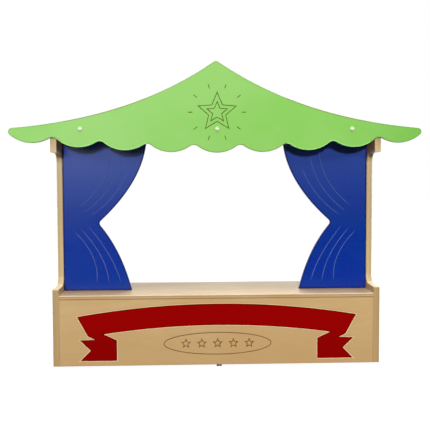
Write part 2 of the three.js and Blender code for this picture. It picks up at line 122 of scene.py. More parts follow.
class Facing(Enum):
    """The way that a turned piece's head faces, as the turns about X and Y that bring it there."""

    UP = (0.0, 0.0)
    DOWN = (math.pi, 0.0)
    FRONT = (QUARTER, 0.0)
    LEFT = (0.0, -QUARTER)
    RIGHT = (0.0, QUARTER)


class Side(Enum):
    """The two sides of the stage, as signs of X."""

    LEFT = -1
    RIGHT = 1

    @property
    def word(self) -> str:
        """The side's name in lower case."""
        return self.name.lower()


# Shader sums

@dataclass(frozen=True)
class Signal:
    """A shader value that takes part in Python sums, each of which adds a Math node."""

    sheet: "NodeSheet"
    socket: bpy.types.NodeSocket

    def maths(self, operation: str, *others: "Signal | float") -> "Signal":
        """Applies a Math operation to this value and the others, in that order."""
        values = dict(enumerate((self, *others)))
        return self.sheet.node("ShaderNodeMath", {"operation": operation}, values)

    def _after(self, operation: str, first: float) -> "Signal":
        """Applies a Math operation with a plain number first and this value second."""
        return self.sheet.node("ShaderNodeMath", {"operation": operation}, {0: first, 1: self})

    def __add__(self, other: "Signal | float") -> "Signal":
        """Sum."""
        return self.maths("ADD", other)

    __radd__ = __add__

    def __mul__(self, other: "Signal | float") -> "Signal":
        """Product."""
        return self.maths("MULTIPLY", other)

    __rmul__ = __mul__

    def __sub__(self, other: "Signal | float") -> "Signal":
        """Difference."""
        return self.maths("SUBTRACT", other)

    def __rsub__(self, other: float) -> "Signal":
        """Difference from a plain number."""
        return self._after("SUBTRACT", other)

    def __truediv__(self, other: "Signal | float") -> "Signal":
        """Quotient."""
        return self.maths("DIVIDE", other)

    def __rtruediv__(self, other: float) -> "Signal":
        """Quotient of a plain number."""
        return self._after("DIVIDE", other)

    def between(self, low: float, high: float) -> "Signal":
        """Rises smoothly from 0 at low to 1 at high."""
        settings = {"interpolation_type": "SMOOTHSTEP"}
        return self.sheet.node("ShaderNodeMapRange", settings, {0: self, 1: low, 2: high})

    def part(self, axis: int) -> "Signal":
        """One number of a vector: 0 for X, 1 for Y and 2 for Z."""
        return self.sheet.node("ShaderNodeSeparateXYZ", None, {0: self}, axis)

    def scaled(self, *factors: float) -> "Signal":
        """A vector with each part multiplied by its own factor."""
        values = {0: self, 1: factors}
        return self.sheet.node("ShaderNodeVectorMath", {"operation": "MULTIPLY"}, values)

    def length(self) -> "Signal":
        """A vector's length."""
        return self.sheet.node("ShaderNodeVectorMath", {"operation": "LENGTH"}, {0: self}, "Value")


class NodeSheet:
    """A node tree that hands its values out as signals."""

    def __init__(self, tree: bpy.types.NodeTree) -> None:
        """Takes a node tree and empties it."""
        self.tree = tree
        tree.nodes.clear()

    def node(
        self,
        kind: str,
        settings: dict[str, object] | None = None,
        values: dict[int | str, object] | None = None,
        output: int | str = 0,
    ) -> Signal:
        """Adds a node.

        Args:
            kind: The node's type.
            settings: Properties of the node, set before its sockets.
            values: Plain values or signals for its input sockets, by index or name.
            output: The output socket to hand back.

        Returns:
            The chosen output as a signal.
        """
        made = self.tree.nodes.new(kind)
        for name, value in (settings or {}).items():
            setattr(made, name, value)
        self.fill(made, values or {})
        return Signal(self, made.outputs[output])

    def fill(self, node: bpy.types.Node, values: dict[int | str, object]) -> None:
        """Sets or links input sockets of a node.

        Args:
            node: The node.
            values: Plain values or signals for its input sockets, by index or name.
        """
        for key, value in values.items():
            if isinstance(value, Signal):
                self.tree.links.new(value.socket, node.inputs[key])
            else:
                node.inputs[key].default_value = value

    def end(self, kind: str, shader: Signal) -> None:
        """Adds the output node and links a shader to it."""
        self.fill(self.tree.nodes.new(kind), {0: shader})

    def blend(self, factor: Signal, first: Signal, second: Signal) -> Signal:
        """A shader between two."""
        return self.node("ShaderNodeMixShader", None, {0: factor, 1: first, 2: second})

    def ray(self, kind: str) -> Signal:
        """1 for rays of a kind, such as Is Camera Ray, and 0 for others."""
        return self.node("ShaderNodeLightPath", None, None, kind)

    def seen(self) -> Signal:
        """1 for rays from the eye, straight or through something clear, and 0 for others."""
        return self.ray("Is Camera Ray").maths("MAXIMUM", self.ray("Is Transmission Ray"))


@dataclass(frozen=True)
class Noise:
    """A cloudy pattern about 0.5, which changes over a length of 1 / scale.

    A stretch gives each axis a scale of its own. A span makes the pattern rise from 0 at the span's
    start to 1 at its end.
    """

    stretch: Triple | None = None
    scale: float = 1.0
    detail: float = 2.0
    roughness: float = 0.5
    span: Point | None = None


class Surface(NodeSheet):
    """A material with one Principled shader."""

    def __init__(self, name: str) -> None:
        """Starts an empty material.

        Args:
            name: The material's name.
        """
        self.material = bpy.data.materials.new(name)
        self.material.use_nodes = True
        super().__init__(self.material.node_tree)
        self.shader = self.tree.nodes.new("ShaderNodeBsdfPrincipled")
        self.end("ShaderNodeOutputMaterial", Signal(self, self.shader.outputs[0]))
        self.place = self.node("ShaderNodeTexCoord", None, None, "Object")

    def pattern(self, noise: Noise, place: Signal | None = None) -> Signal:
        """Lays a noise on the surface.

        Args:
            noise: The noise.
            place: The position that it is laid by, or None for the piece's own.

        Returns:
            Its value.
        """
        laid = place or self.place
        if noise.stretch:
            laid = laid.scaled(*noise.stretch)
        values = {"Vector": laid, "Scale": noise.scale, "Detail": noise.detail,
                  "Roughness": noise.roughness}
        value = self.node("ShaderNodeTexNoise", None, values)
        return value.between(*noise.span) if noise.span else value

    def mix(self, factor: Signal | float, first: Signal | Colour, second: Signal | Colour) -> Signal:
        """A colour between two."""
        values = {MIX_FACTOR: factor, MIX_FIRST: first, MIX_SECOND: second}
        return self.node("ShaderNodeMix", {"data_type": "RGBA"}, values, MIX_RESULT)

    def with_painted_edge_light(self, colour: Signal, top: Colour, low: Colour, strength: float) -> Signal:
        """A colour with painted light and shade along the edges of a board that look up and down.

        Args:
            colour: The colour of the broad faces.
            top: The painted light or shade along edges that look up.
            low: The painted light or shade along edges that look down.
            strength: How strongly they show.

        Returns:
            The colour with the painted light and shade along its edges.
        """
        mark = self.node("ShaderNodeAttribute", {"attribute_name": RIM}, None, "Vector")
        rim = self.mix(mark.part(1).between(-RIM_TURN, RIM_TURN), low, top)
        return self.mix(mark.part(0) * strength, colour, rim)

    def set(self, **values: object) -> None:
        """Sets or links sockets of the Principled shader, named with underscores for spaces."""
        self.fill(self.shader, {name.replace("_", " "): value for name, value in values.items()})

    def bump(self, height: Signal, distance: float) -> None:
        """Roughens the surface by a height from 0 to 1, which stands for the distance in metres."""
        self.set(Normal=self.node("ShaderNodeBump", None, {"Height": height, "Distance": distance}))


# Finishes

@dataclass(frozen=True)
class WoodFinish:
    """Clear-lacquered beech with growth rings, fibres and short dark flecks, with painted light and
    shade along its edges and, where asked, painted shade towards its foot.

    The rings are those of a log whose heart lies beside the board, so that edges and ends match the
    faces. A value ending in matt says how much a pattern dulls the lacquer, and one ending in relief
    how high it stands.
    """

    name: str
    grain: Grain
    heart: Point
    pale: Colour = srgb(200, 169, 119)
    late: Colour = srgb(188, 151, 101)
    warm: Colour = srgb(193, 155, 105)
    fleck: Colour = srgb(150, 110, 68)
    # Painted light and shade along the edges: lighter where an edge looks up, darker where it looks
    # down.
    top_edge: Colour = srgb(232, 208, 160)
    low_edge: Colour = srgb(160, 120, 74)
    rim: float = 0.6
    ring_width: float = 0.0062
    ring_slant: float = 0.05
    wander_reach: float = 0.06
    sway_reach: float = 0.01
    late_span: Point = (0.3, 0.9)
    late_share: float = 0.2
    warm_share: float = 0.65
    fibre_start: float = 0.35
    fibre_share: float = 0.2
    fleck_share: float = 0.28
    # Painted shade: the wood darkens towards its foot by this share, over this span of height.
    foot: float = 0.0
    foot_rise: Point = (0.02, 0.17)
    roughness: float = 0.38
    fibre_matt: float = 0.08
    cloud_matt: float = 0.05
    shine: float = 0.4
    coat: float = 0.12
    coat_roughness: float = 0.25
    fibre_relief: float = 0.4
    fleck_relief: float = 0.5
    late_relief: float = 0.12
    level_relief: float = 0.4
    relief_depth: float = 0.00005
    wander: Noise = Noise((1.3, 8.0, 8.0))
    sway: Noise = Noise((4.0, 26.0, 26.0), detail=3.0)
    fibres: Noise = Noise((16.0, 640.0, 640.0))
    flecks: Noise = Noise((240.0, 1500.0, 1500.0), detail=1.0, span=(0.66, 0.78))
    clouds: Noise = Noise((5.0, 11.0, 11.0), detail=3.0, roughness=0.55, span=(0.34, 0.68))

    def rings(self, sheet: Surface, board: Signal, axes: list[Signal]) -> Signal:
        """The dark late wood of the growth rings.

        Args:
            sheet: The material.
            board: The position with its axes in the grain's order.
            axes: The numbers of that position.

        Returns:
            1 where a ring is darkest and 0 between the rings.
        """
        wander = sheet.pattern(self.wander, board) - 0.5
        sway = sheet.pattern(self.sway, board) - 0.5
        side = axes[1] + (wander * self.wander_reach + axes[0] * self.ring_slant - self.heart[0])
        rise = axes[2] + (sway * self.sway_reach - self.heart[1])
        radius = sheet.node("ShaderNodeCombineXYZ", None, {1: side, 2: rise}).length()
        ring = (radius / self.ring_width).maths("FRACT")
        return ring.between(*self.late_span) * (1.0 - ring.between(self.late_span[1], 1.0))

    def build(self) -> bpy.types.Material:
        """Makes the finish.

        Returns:
            Its material.
        """
        sheet = Surface(self.name)
        axes = [sheet.place.part(axis) for axis in self.grain.value]
        board = sheet.node("ShaderNodeCombineXYZ", None, dict(enumerate(axes)))
        late = self.rings(sheet, board, axes)
        noises = (self.fibres, self.flecks, self.clouds)
        fibre, fleck, cloud = [sheet.pattern(noise, board) for noise in noises]
        colour = sheet.mix(late * self.late_share, self.pale, self.late)
        colour = sheet.mix(cloud * self.warm_share, colour, self.warm)
        colour = sheet.mix((fibre - self.fibre_start) * self.fibre_share, colour, self.late)
        colour = sheet.mix(fleck * self.fleck_share, colour, self.fleck)
        # Painted shade towards the foot.
        if self.foot:
            low = 1.0 - sheet.place.part(2).between(*self.foot_rise)
            colour = sheet.mix(low * self.foot, colour, self.late)
        sheet.set(
            Base_Color=sheet.with_painted_edge_light(colour, self.top_edge, self.low_edge, self.rim),
            Roughness=self.roughness + fibre * self.fibre_matt + cloud * self.cloud_matt,
            Specular_IOR_Level=self.shine,
            Coat_Weight=self.coat,
            Coat_Roughness=self.coat_roughness,
        )
        relief = fibre * self.fibre_relief - fleck * self.fleck_relief + late * self.late_relief
        sheet.bump(relief + self.level_relief, self.relief_depth)
        return sheet.material


@dataclass(frozen=True)
class LacquerFinish:
    """Rolled satin paint on smooth board, with painted light and shade along its rounded edges and
    painted light that changes along one axis.
    """

    name: str
    colour: Colour
    cloud: Colour
    # Painted light and shade along the edges, by which way each edge looks.
    top_edge: Colour
    low_edge: Colour
    # Painted light and shade that comes in along one axis, from the plain colour to this tone.
    painted_light_tone: Colour
    fade: Point
    painted_light_axis: int = 2
    rim: float = 0.9
    cloud_span: Point = (0.36, 0.66)
    cloud_share: float = 0.7
    streak_share: float = 0.2
    scuff: Colour = srgb(235, 235, 235)
    scuff_span: Point = (0.48, 0.6)
    scuff_share: float = 0.05
    roughness: float = 0.3
    drift_matt: float = 0.08
    scuff_matt: float = 0.15
    stipple_matt: float = 0.04
    shine: float = 0.45
    stipple_relief: float = 0.4
    swell_relief: float = 0.6
    relief_depth: float = 0.00005
    drift: Noise = Noise((3.0, 3.0, 4.5), 1.3, 3.0)
    streaks: Noise = Noise((9.0, 30.0, 120.0), span=(0.45, 0.8))
    stipples: Noise = Noise(scale=520.0)
    swells: Noise = Noise(scale=60.0)
    scuffs: Noise = Noise((260.0, 40.0, 26.0), span=(0.7, 0.8))

    def build(self) -> bpy.types.Material:
        """Makes the finish.

        Returns:
            Its material.
        """
        sheet = Surface(self.name)
        drift, stipple = sheet.pattern(self.drift), sheet.pattern(self.stipples)
        scuff = sheet.pattern(self.scuffs) * drift.between(*self.scuff_span)
        colour = sheet.mix(drift.between(*self.cloud_span) * self.cloud_share, self.colour, self.cloud)
        colour = sheet.mix(sheet.pattern(self.streaks) * self.streak_share, colour, self.cloud)
        # Painted light along one axis, then painted light and shade along the edges.
        colour = sheet.mix(sheet.place.part(self.painted_light_axis).between(*self.fade), colour, self.painted_light_tone)
        colour = sheet.with_painted_edge_light(colour, self.top_edge, self.low_edge, self.rim)
        dull = self.roughness + drift * self.drift_matt + scuff * self.scuff_matt
        sheet.set(
            Base_Color=sheet.mix(scuff * self.scuff_share, colour, self.scuff),
            Roughness=dull + stipple * self.stipple_matt,
            Specular_IOR_Level=self.shine,
        )
        swell = sheet.pattern(self.swells)
        sheet.bump(stipple * self.stipple_relief + swell * self.swell_relief, self.relief_depth)
        return sheet.material


@dataclass(frozen=True)
class CarvedFinish:
    """The bottom of a carved line, which may change with height."""

    name: str
    colour: Colour
    patch: Colour
    higher: Colour | None = None
    fade: Point = (0.41, 0.44)
    patch_share: float = 0.7
    fuzz_share: float = 0.2
    roughness: float = 0.6
    fuzz_matt: float = 0.15
    shine: float = 0.15
    relief_depth: float = 0.00008
    fuzz: Noise = Noise(scale=900.0, detail=3.0)
    patches: Noise = Noise(scale=45.0, span=(0.35, 0.7))

    def build(self) -> bpy.types.Material:
        """Makes the finish.

        Returns:
            Its material.
        """
        sheet = Surface(self.name)
        fuzz, patch = sheet.pattern(self.fuzz), sheet.pattern(self.patches)
        colour = sheet.mix(patch * self.patch_share + fuzz * self.fuzz_share, self.colour, self.patch)
        if self.higher:
            colour = sheet.mix(sheet.place.part(2).between(*self.fade), colour, self.higher)
        sheet.set(Base_Color=colour, Roughness=self.roughness + fuzz * self.fuzz_matt,
                  Specular_IOR_Level=self.shine)
        sheet.bump(fuzz, self.relief_depth)
        return sheet.material


@dataclass(frozen=True)
class MouldedFinish:
    """Moulded plastic with a faint grain and handling marks, and, where a second colour is given, a
    painted glint: the pale colour stays on its crown as a painted highlight, with a deeper tone away
    from it.

    The crown is where the face's direction, with its parts weighed by crown, is short.
    """

    name: str
    colour: Colour
    worn: Colour
    # The deeper tone around a painted glint; the crown keeps the pale colour as a painted highlight.
    under: Colour | None = None
    crown: Triple = (0.4, 0.0, 1.0)
    crown_span: Point = (0.17, 0.29)
    worn_span: Point = (0.4, 0.75)
    worn_share: float = 0.5
    roughness: float = 0.4
    grain_matt: float = 0.12
    cloud_matt: float = 0.08
    shine: float = 0.5
    coat: float = 0.0
    coat_roughness: float = 0.12
    relief_depth: float = 0.00003
    grain: Noise = Noise(scale=1400.0)
    clouds: Noise = Noise(scale=160.0, detail=3.0)

    def build(self) -> bpy.types.Material:
        """Makes the finish.

        Returns:
            Its material.
        """
        sheet = Surface(self.name)
        grain, cloud = sheet.pattern(self.grain), sheet.pattern(self.clouds)
        colour = sheet.mix(cloud.between(*self.worn_span) * self.worn_share, self.colour, self.worn)
        # A painted glint: the crown keeps the pale colour as a painted highlight.
        if self.under:
            way = sheet.node("ShaderNodeTexCoord", None, None, "Normal").scaled(*self.crown)
            colour = sheet.mix(way.length().between(*self.crown_span), colour, self.under)
        sheet.set(
            Base_Color=colour,
            Roughness=self.roughness + grain * self.grain_matt + cloud * self.cloud_matt,
            Specular_IOR_Level=self.shine,
            Coat_Weight=self.coat,
            Coat_Roughness=self.coat_roughness,
        )
        sheet.bump(grain, self.relief_depth)
        return sheet.material


@dataclass(frozen=True)
class SteelFinish:
    """Zinc-plated steel with turning marks and a blotchy bloom."""

    name: str
    bright: Colour = srgb(196, 198, 200)
    dull: Colour = srgb(168, 170, 160)
    dull_span: Point = (0.4, 0.7)
    metal: float = 0.7
    bloom_metal: float = 0.4
    roughness: float = 0.26
    bloom_matt: float = 0.25
    relief_depth: float = 0.00002
    bloom: Noise = Noise(scale=380.0, detail=4.0)
    marks: Noise = Noise(scale=2600.0)

    def build(self) -> bpy.types.Material:
        """Makes the finish.

        Returns:
            Its material.
        """
        sheet = Surface(self.name)
        bloom = sheet.pattern(self.bloom)
        sheet.set(
            Base_Color=sheet.mix(bloom.between(*self.dull_span), self.bright, self.dull),
            Metallic=self.metal + bloom * self.bloom_metal,
            Roughness=self.roughness + bloom * self.bloom_matt,
        )
        sheet.bump(sheet.pattern(self.marks), self.relief_depth)
        return sheet.material


# Outlines

def arc(centre: Point, radius: float, start: float, end: float, steps: int) -> Run:
    """Points along an arc from one angle to another, in radians, with both ends."""
    angles = [start + (end - start) * step / steps for step in range(steps + 1)]
    return [(centre[0] + radius * math.cos(a), centre[1] + radius * math.sin(a)) for a in angles]


def bend(start: Point, control: Point, end: Point, steps: int) -> Run:
    """Points along a quadratic curve, with both ends.

    Args:
        start: The curve's first point.
        control: The point that it bends towards.
        end: Its last point.
        steps: Number of chords.

    Returns:
        The points.
    """
    run = []
    for step in range(steps + 1):
        t = step / steps
        parts = list(zip(((1 - t) ** 2, 2 * t * (1 - t), t * t), (start, control, end)))
        run.append(tuple(sum(weight * point[axis] for weight, point in parts) for axis in (0, 1)))
    return run


def towards(start: Point, end: Point, share: float) -> Point:
    """The point that lies a share of the way from one point to another."""
    return tuple(a + (b - a) * share for a, b in zip(start, end))


def polar(centre: Point, reach: float, angle: float) -> Point:
    """The point at a distance and an angle from a centre."""
    return (centre[0] + reach * math.cos(angle), centre[1] + reach * math.sin(angle))


def angle_to(start: Point, end: Point) -> float:
    """The angle of the line from one point to another."""
    return math.atan2(end[1] - start[1], end[0] - start[0])


def chain(*runs: Run) -> Run:
    """Joins runs whose ends meet, leaving out each shared point."""
    return [p for run in runs[:-1] for p in run[:-1]] + list(runs[-1])


def mirrored(half: Run) -> Run:
    """Closes a right half that starts and ends on the middle line with its mirror image."""
    return half + [(-x, y) for x, y in reversed(half[1:-1])]


def flipped(run: Run, side: Side) -> Run:
    """The run itself on the right side, or its mirror image on the left."""
    return [(side.value * x, y) for x, y in run]


def signed_area(run: Run) -> float:
    """Twice the area inside a closed run, positive when it runs anticlockwise."""
    return sum(a[0] * b[1] - b[0] * a[1] for a, b in zip(run, run[1:] + run[:1]))


def left_turns(run: Run, closed: bool = True) -> list[Vector]:
    """Directions to the left of a run, longer at corners so that an offset keeps its width.

    Args:
        run: The points.
        closed: Whether the last point joins the first.

    Returns:
        One direction for each point.
    """
    found = []
    last = len(run) - 1
    for index, here in enumerate(run):
        arrive = (Vector(here) - Vector(run[index - 1])).normalized()
        leave = (Vector(run[(index + 1) % len(run)]) - Vector(here)).normalized()
        if not closed and index == 0:
            arrive = leave
        if not closed and index == last:
            leave = arrive
        middle = (arrive + leave).normalized()
        found.append(Vector((-middle.y, middle.x)) / max(middle.dot(arrive), CORNER_LIMIT))
    return found


def star(centre: Point, radius: float, notch: float, points: int = 5) -> Run:
    """The outline of a star that points up, with its notches at a share of its radius."""
    return [polar(centre, radius * (notch if corner % 2 else 1.0), QUARTER + corner * math.pi / points)
            for corner in range(2 * points)]


# Solids

@dataclass(frozen=True)
class Level:
    """One ring of a board: how far inside the outline and how deep behind the face it lies.

    It also says how much painted edge light it marks, and how much more that painted light takes the
    tone of a top edge.
    """

    inset: float
    depth: float
    rim: float = 0.0
    lean: float = 0.0


@dataclass
class Solid:
    """Points and faces of a closed shape, gathered before it becomes a piece."""

    points: list[Vector]
    faces: list[tuple[int, ...]]
    rims: list[Triple]

    @classmethod
    def empty(cls) -> "Solid":
        """A solid with nothing in it yet."""
        return cls([], [], [])

    def add(self, other: "Solid") -> None:
        """Takes another solid in beside this one.

        Args:
            other: The solid to take in.
        """
        shift = len(self.points)
        self.points.extend(other.points)
        self.faces.extend(tuple(i + shift for i in face) for face in other.faces)
        self.rims.extend(other.rims)

    def moved(self, matrix: Matrix) -> "Solid":
        """The solid carried by a matrix."""
        return Solid([matrix @ p for p in self.points], self.faces, self.rims)

    def mesh(self, name: str, *finishes: bpy.types.Material) -> bpy.types.Mesh:
        """Makes a mesh whose faces point outwards.

        Args:
            name: The mesh's name.
            finishes: Its materials, of which the last one is on every face.

        Returns:
            The mesh.
        """
        made = bpy.data.meshes.new(name)
        made.from_pydata([tuple(p) for p in self.points], [], self.faces)
        edit = bmesh.new()
        edit.from_mesh(made)
        bmesh.ops.recalc_face_normals(edit, faces=edit.faces)
        edit.to_mesh(made)
        edit.free()
        mark = made.attributes.new(RIM, "FLOAT_VECTOR", "POINT")
        mark.data.foreach_set("vector", [part for rim in self.rims for part in rim])
        for finish in finishes:
            made.materials.append(finish)
        for polygon in made.polygons:
            polygon.material_index = len(finishes) - 1
        return made


def band(first: int, second: int, count: int) -> list[tuple[int, ...]]:
    """Faces between two closed rings of points that start at given indices."""
    return [(first + i, first + (i + 1) % count, second + (i + 1) % count, second + i)
            for i in range(count)]


def lofted(
    outline: Run,
    levels: Sequence[Level],
    softness: Sequence[float] | None = None,
    tones: Sequence[Point | None] | None = None,
) -> Solid:
    """A board that stands along X and Z and reaches back along Y, ring by ring.

    Args:
        outline: The closed outline in X and Z.
        levels: The rings, from the front face to the back one.
        softness: A factor on the edges' size at each outline point, where they vary along it.
        tones: For each outline point, how much rim it marks and the way that the rim's painted light
            looks, from -1 for down to 1 for up, or None for its own way.

    Returns:
        The board.
    """
    turn = 1 if signed_area(outline) > 0 else -1
    inward = [side * turn for side in left_turns(outline)]
    soft = softness or [1.0] * len(outline)
    shades = tones or [None] * len(outline)
    solid = Solid.empty()
    for index, level in enumerate(levels):
        face = 0.0 if 2 * index < len(levels) else levels[-1].depth
        if softness is None:
            face = level.depth
        for point, side, factor, shade in zip(outline, inward, soft, shades):
            inset = level.inset * factor
            depth = face + (level.depth - face) * factor
            solid.points.append(Vector((point[0] + inset * side.x, depth, point[1] + inset * side.y)))
            amount, way = shade or (1.0, -side.normalized().y)
            solid.rims.append((amount * level.rim, way + level.lean, 0.0))
    count = len(outline)
    solid.faces.append(tuple(range(count)))
    for index in range(len(levels) - 1):
        solid.faces += band((index + 1) * count, index * count, count)
    solid.faces.append(tuple(reversed(range((len(levels) - 1) * count, len(levels) * count))))
    return solid


def rounded(thickness: float, radius: float, fade: float = 0.0, steps: int = 5,
            whole: bool = False) -> list[Level]:
    """Levels of a board with rounded front and back edges.

    Args:
        thickness: The board's thickness.
        radius: The radius of its edges.
        fade: How far onto the faces the rim's painted light reaches, or 0 for no rim at all.
        steps: Number of chords in an edge.
        whole: Whether the rim's painted light covers the whole thickness.

    Returns:
        The levels from front to back.
    """
    rim = 1.0 if fade else 0.0
    front = [Level(radius + fade, 0.0), Level(radius + fade * RIM_SHARE, 0.0, rim)] if fade else []
    for step in range(steps + 1):
        turn = QUARTER * step / steps
        front.append(Level(radius * (1 - math.sin(turn)), radius * (1 - math.cos(turn)), rim))
    if fade and not whole and radius + fade < thickness / 2:
        front.append(Level(0.0, radius + fade))
    return front + [replace(level, depth=thickness - level.depth) for level in reversed(front)]


def groove(run: Run, radius: float, closed: bool, sides: int = 12, taper: float = 0.3,
           tip: float = 0.08) -> Solid:
    """A round cutter that follows a run on a front face at zero and leaves a half-round line.

    Args:
        run: The line's points in X and Z.
        radius: Half the line's width, which is also its depth.
        closed: Whether the line closes on itself.
        sides: Number of sides of the cutter.
        taper: The share of an open line over which each end thins out.
        tip: The share of its width that an end keeps.

    Returns:
        The cutter.
    """
    last = len(run) - 1
    solid = Solid.empty()
    for index, (here, side) in enumerate(zip(run, left_turns(run, closed))):
        near = min(min(index, last - index) / last / taper, 1.0)
        size = radius if closed else radius * max(math.sin(QUARTER * near), tip)
        for corner in range(sides):
            across, depth = polar((0.0, 0.0), size, 2 * math.pi * corner / sides)
            solid.points.append(Vector((here[0] + side.x * across, depth, here[1] + side.y * across)))
            solid.rims.append(NO_RIM)
    for ring in range(last + 1 if closed else last):
        solid.faces += band(ring * sides, (ring + 1) % (last + 1) * sides, sides)
    if not closed:
        solid.faces += [tuple(reversed(range(sides))), tuple(range(last * sides, (last + 1) * sides))]
    return solid


def turned(profile: Sequence[Point], sides: int = 40) -> Solid:
    """A turned solid about the upright axis.

    Args:
        profile: Radius and height of each ring, from the axis to the axis.
        sides: Number of sides.

    Returns:
        The solid.
    """
    rings = profile[1:-1]
    points = [Vector((0.0, 0.0, profile[0][1]))]
    for radius, height in rings:
        circle = [polar((0.0, 0.0), radius, 2 * math.pi * k / sides) for k in range(sides)]
        points += [Vector((*point, height)) for point in circle]
    points.append(Vector((0.0, 0.0, profile[-1][1])))
    faces: list[tuple[int, ...]] = [(0, 1 + (k + 1) % sides, 1 + k) for k in range(sides)]
    for ring in range(len(rings) - 1):
        faces += band(1 + ring * sides, 1 + (ring + 1) * sides, sides)
    start = 1 + (len(rings) - 1) * sides
    faces += [(len(points) - 1, start + k, start + (k + 1) % sides) for k in range(sides)]
    return Solid(points, faces, [NO_RIM] * len(points))


def shaped(shares: Sequence[Point], reach: float, height: float) -> Run:
    """A profile's points from their shares of a reach and a height."""
    return [(across * reach, up * height) for across, up in shares]


# Pieces

def placed(name: str, data: bpy.types.ID) -> bpy.types.Object:
    """Puts a new object in the scene.

    Args:
        name: The object's name.
        data: Its mesh, lamp or camera.

    Returns:
        The object.
    """
    made = bpy.data.objects.new(name, data)
    bpy.context.scene.collection.objects.link(made)
    return made


@dataclass(frozen=True)
class Span:
    """The box of a CAD node."""

    low: Vector
    high: Vector

    @classmethod
    def of(cls, node: str) -> "Span":
        """The box of a node, by name."""
        return cls(*(Vector(corner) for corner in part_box(node)))

    @property
    def size(self) -> Vector:
        """The box's three sizes."""
        return self.high - self.low

    @property
    def middle(self) -> Vector:
        """The box's middle."""
        return (self.low + self.high) / 2

    def upright(self) -> Matrix:
        """Brings a board drawn along X and Z to the box's front and foot, on the middle line."""
        return Matrix.Translation((0.0, self.low.y, self.low.z))

    def sideways(self) -> Matrix:
        """Brings a board drawn in depth and height to the box, with its thickness along X."""
        x, y, z = self.low
        return Matrix(((0, 1, 0, x), (1, 0, 0, y), (0, 0, 1, z), (0, 0, 0, 1)))

    def seated(self, facing: Facing) -> Matrix:
        """Brings a turned solid that stands on its base into the box.

        Args:
            facing: The way that the solid's head is to face.

        Returns:
            The matrix that does it.
        """
        about_x, about_y = facing.value
        turn = Matrix.Rotation(about_y, 4, "Y") @ Matrix.Rotation(about_x, 4, "X")
        head = turn.to_3x3() @ Vector((0.0, 0.0, 1.0))
        base = self.middle - Vector([h * s / 2 for h, s in zip(head, self.size)])
        return Matrix.Translation(base) @ turn


class Piece:
    """A mesh that stands for CAD nodes and rides on the body."""

    def __init__(
        self,
        name: str,
        solid: Solid,
        finish: bpy.types.Material,
        slot: str,
        *nodes: str,
    ) -> None:
        """Makes the piece.

        Args:
            name: The piece's name.
            solid: Its shape in the part's frame.
            finish: Its material.
            slot: A material slot's name, which is not used.
            nodes: The CAD nodes that it stands for.
        """
        self.solid = solid
        self.thing = placed(name, solid.mesh(name, finish))
        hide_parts(*nodes)
        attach(self.thing, BODY)

    def __str__(self) -> str:
        """The piece's name and number of faces."""
        return f"{self.thing.name} with {len(self.thing.data.polygons)} faces"

    def settle(self) -> None:
        """Applies the modifiers to the mesh."""
        graph = bpy.context.evaluated_depsgraph_get()
        graph.update()
        result = bpy.data.meshes.new_from_object(self.thing.evaluated_get(graph))
        self.thing.modifiers.clear()
        self.thing.data = result

    def cut(self, cutter: Solid, finish: bpy.types.Material) -> None:
        """Carves a solid out of the piece.

        Args:
            cutter: The solid to take out, in the part's frame.
            finish: The finish of the cut faces.
        """
        self.thing.data.materials.append(finish)
        tool = placed("cutter", cutter.mesh("cutter", *self.thing.data.materials))
        change = self.thing.modifiers.new("carve", "BOOLEAN")
        change.operation = "DIFFERENCE"
        change.solver = "EXACT"
        change.object = tool
        self.settle()
        bpy.data.objects.remove(tool)

    def mark_rims(self) -> None:
        """Marks the rims anew at the points that carving has kept, because it drops their marks."""
        tree = KDTree(len(self.solid.points))
        for index, point in enumerate(self.solid.points):
            tree.insert(point, index)
        tree.balance()
        mesh = self.thing.data
        for vertex, mark in zip(mesh.vertices, mesh.attributes[RIM].data):
            _, index, gap = tree.find(vertex.co)
            mark.vector = self.solid.rims[index] if gap < SAME_PLACE else NO_RIM

    def smooth(self) -> "Piece":
        """Shades the piece smoothly, with crisp corners and flat broad faces.

        Returns:
            The piece, ready.
        """
        self.mark_rims()
        for polygon in self.thing.data.polygons:
            polygon.use_smooth = True
        self.thing.data.set_sharp_from_angle(angle=SHARP_ANGLE)
        weigh = self.thing.modifiers.new("even", "WEIGHTED_NORMAL")
        weigh.weight = FACE_WEIGHT
        weigh.keep_sharp = True
        self.settle()
        return self


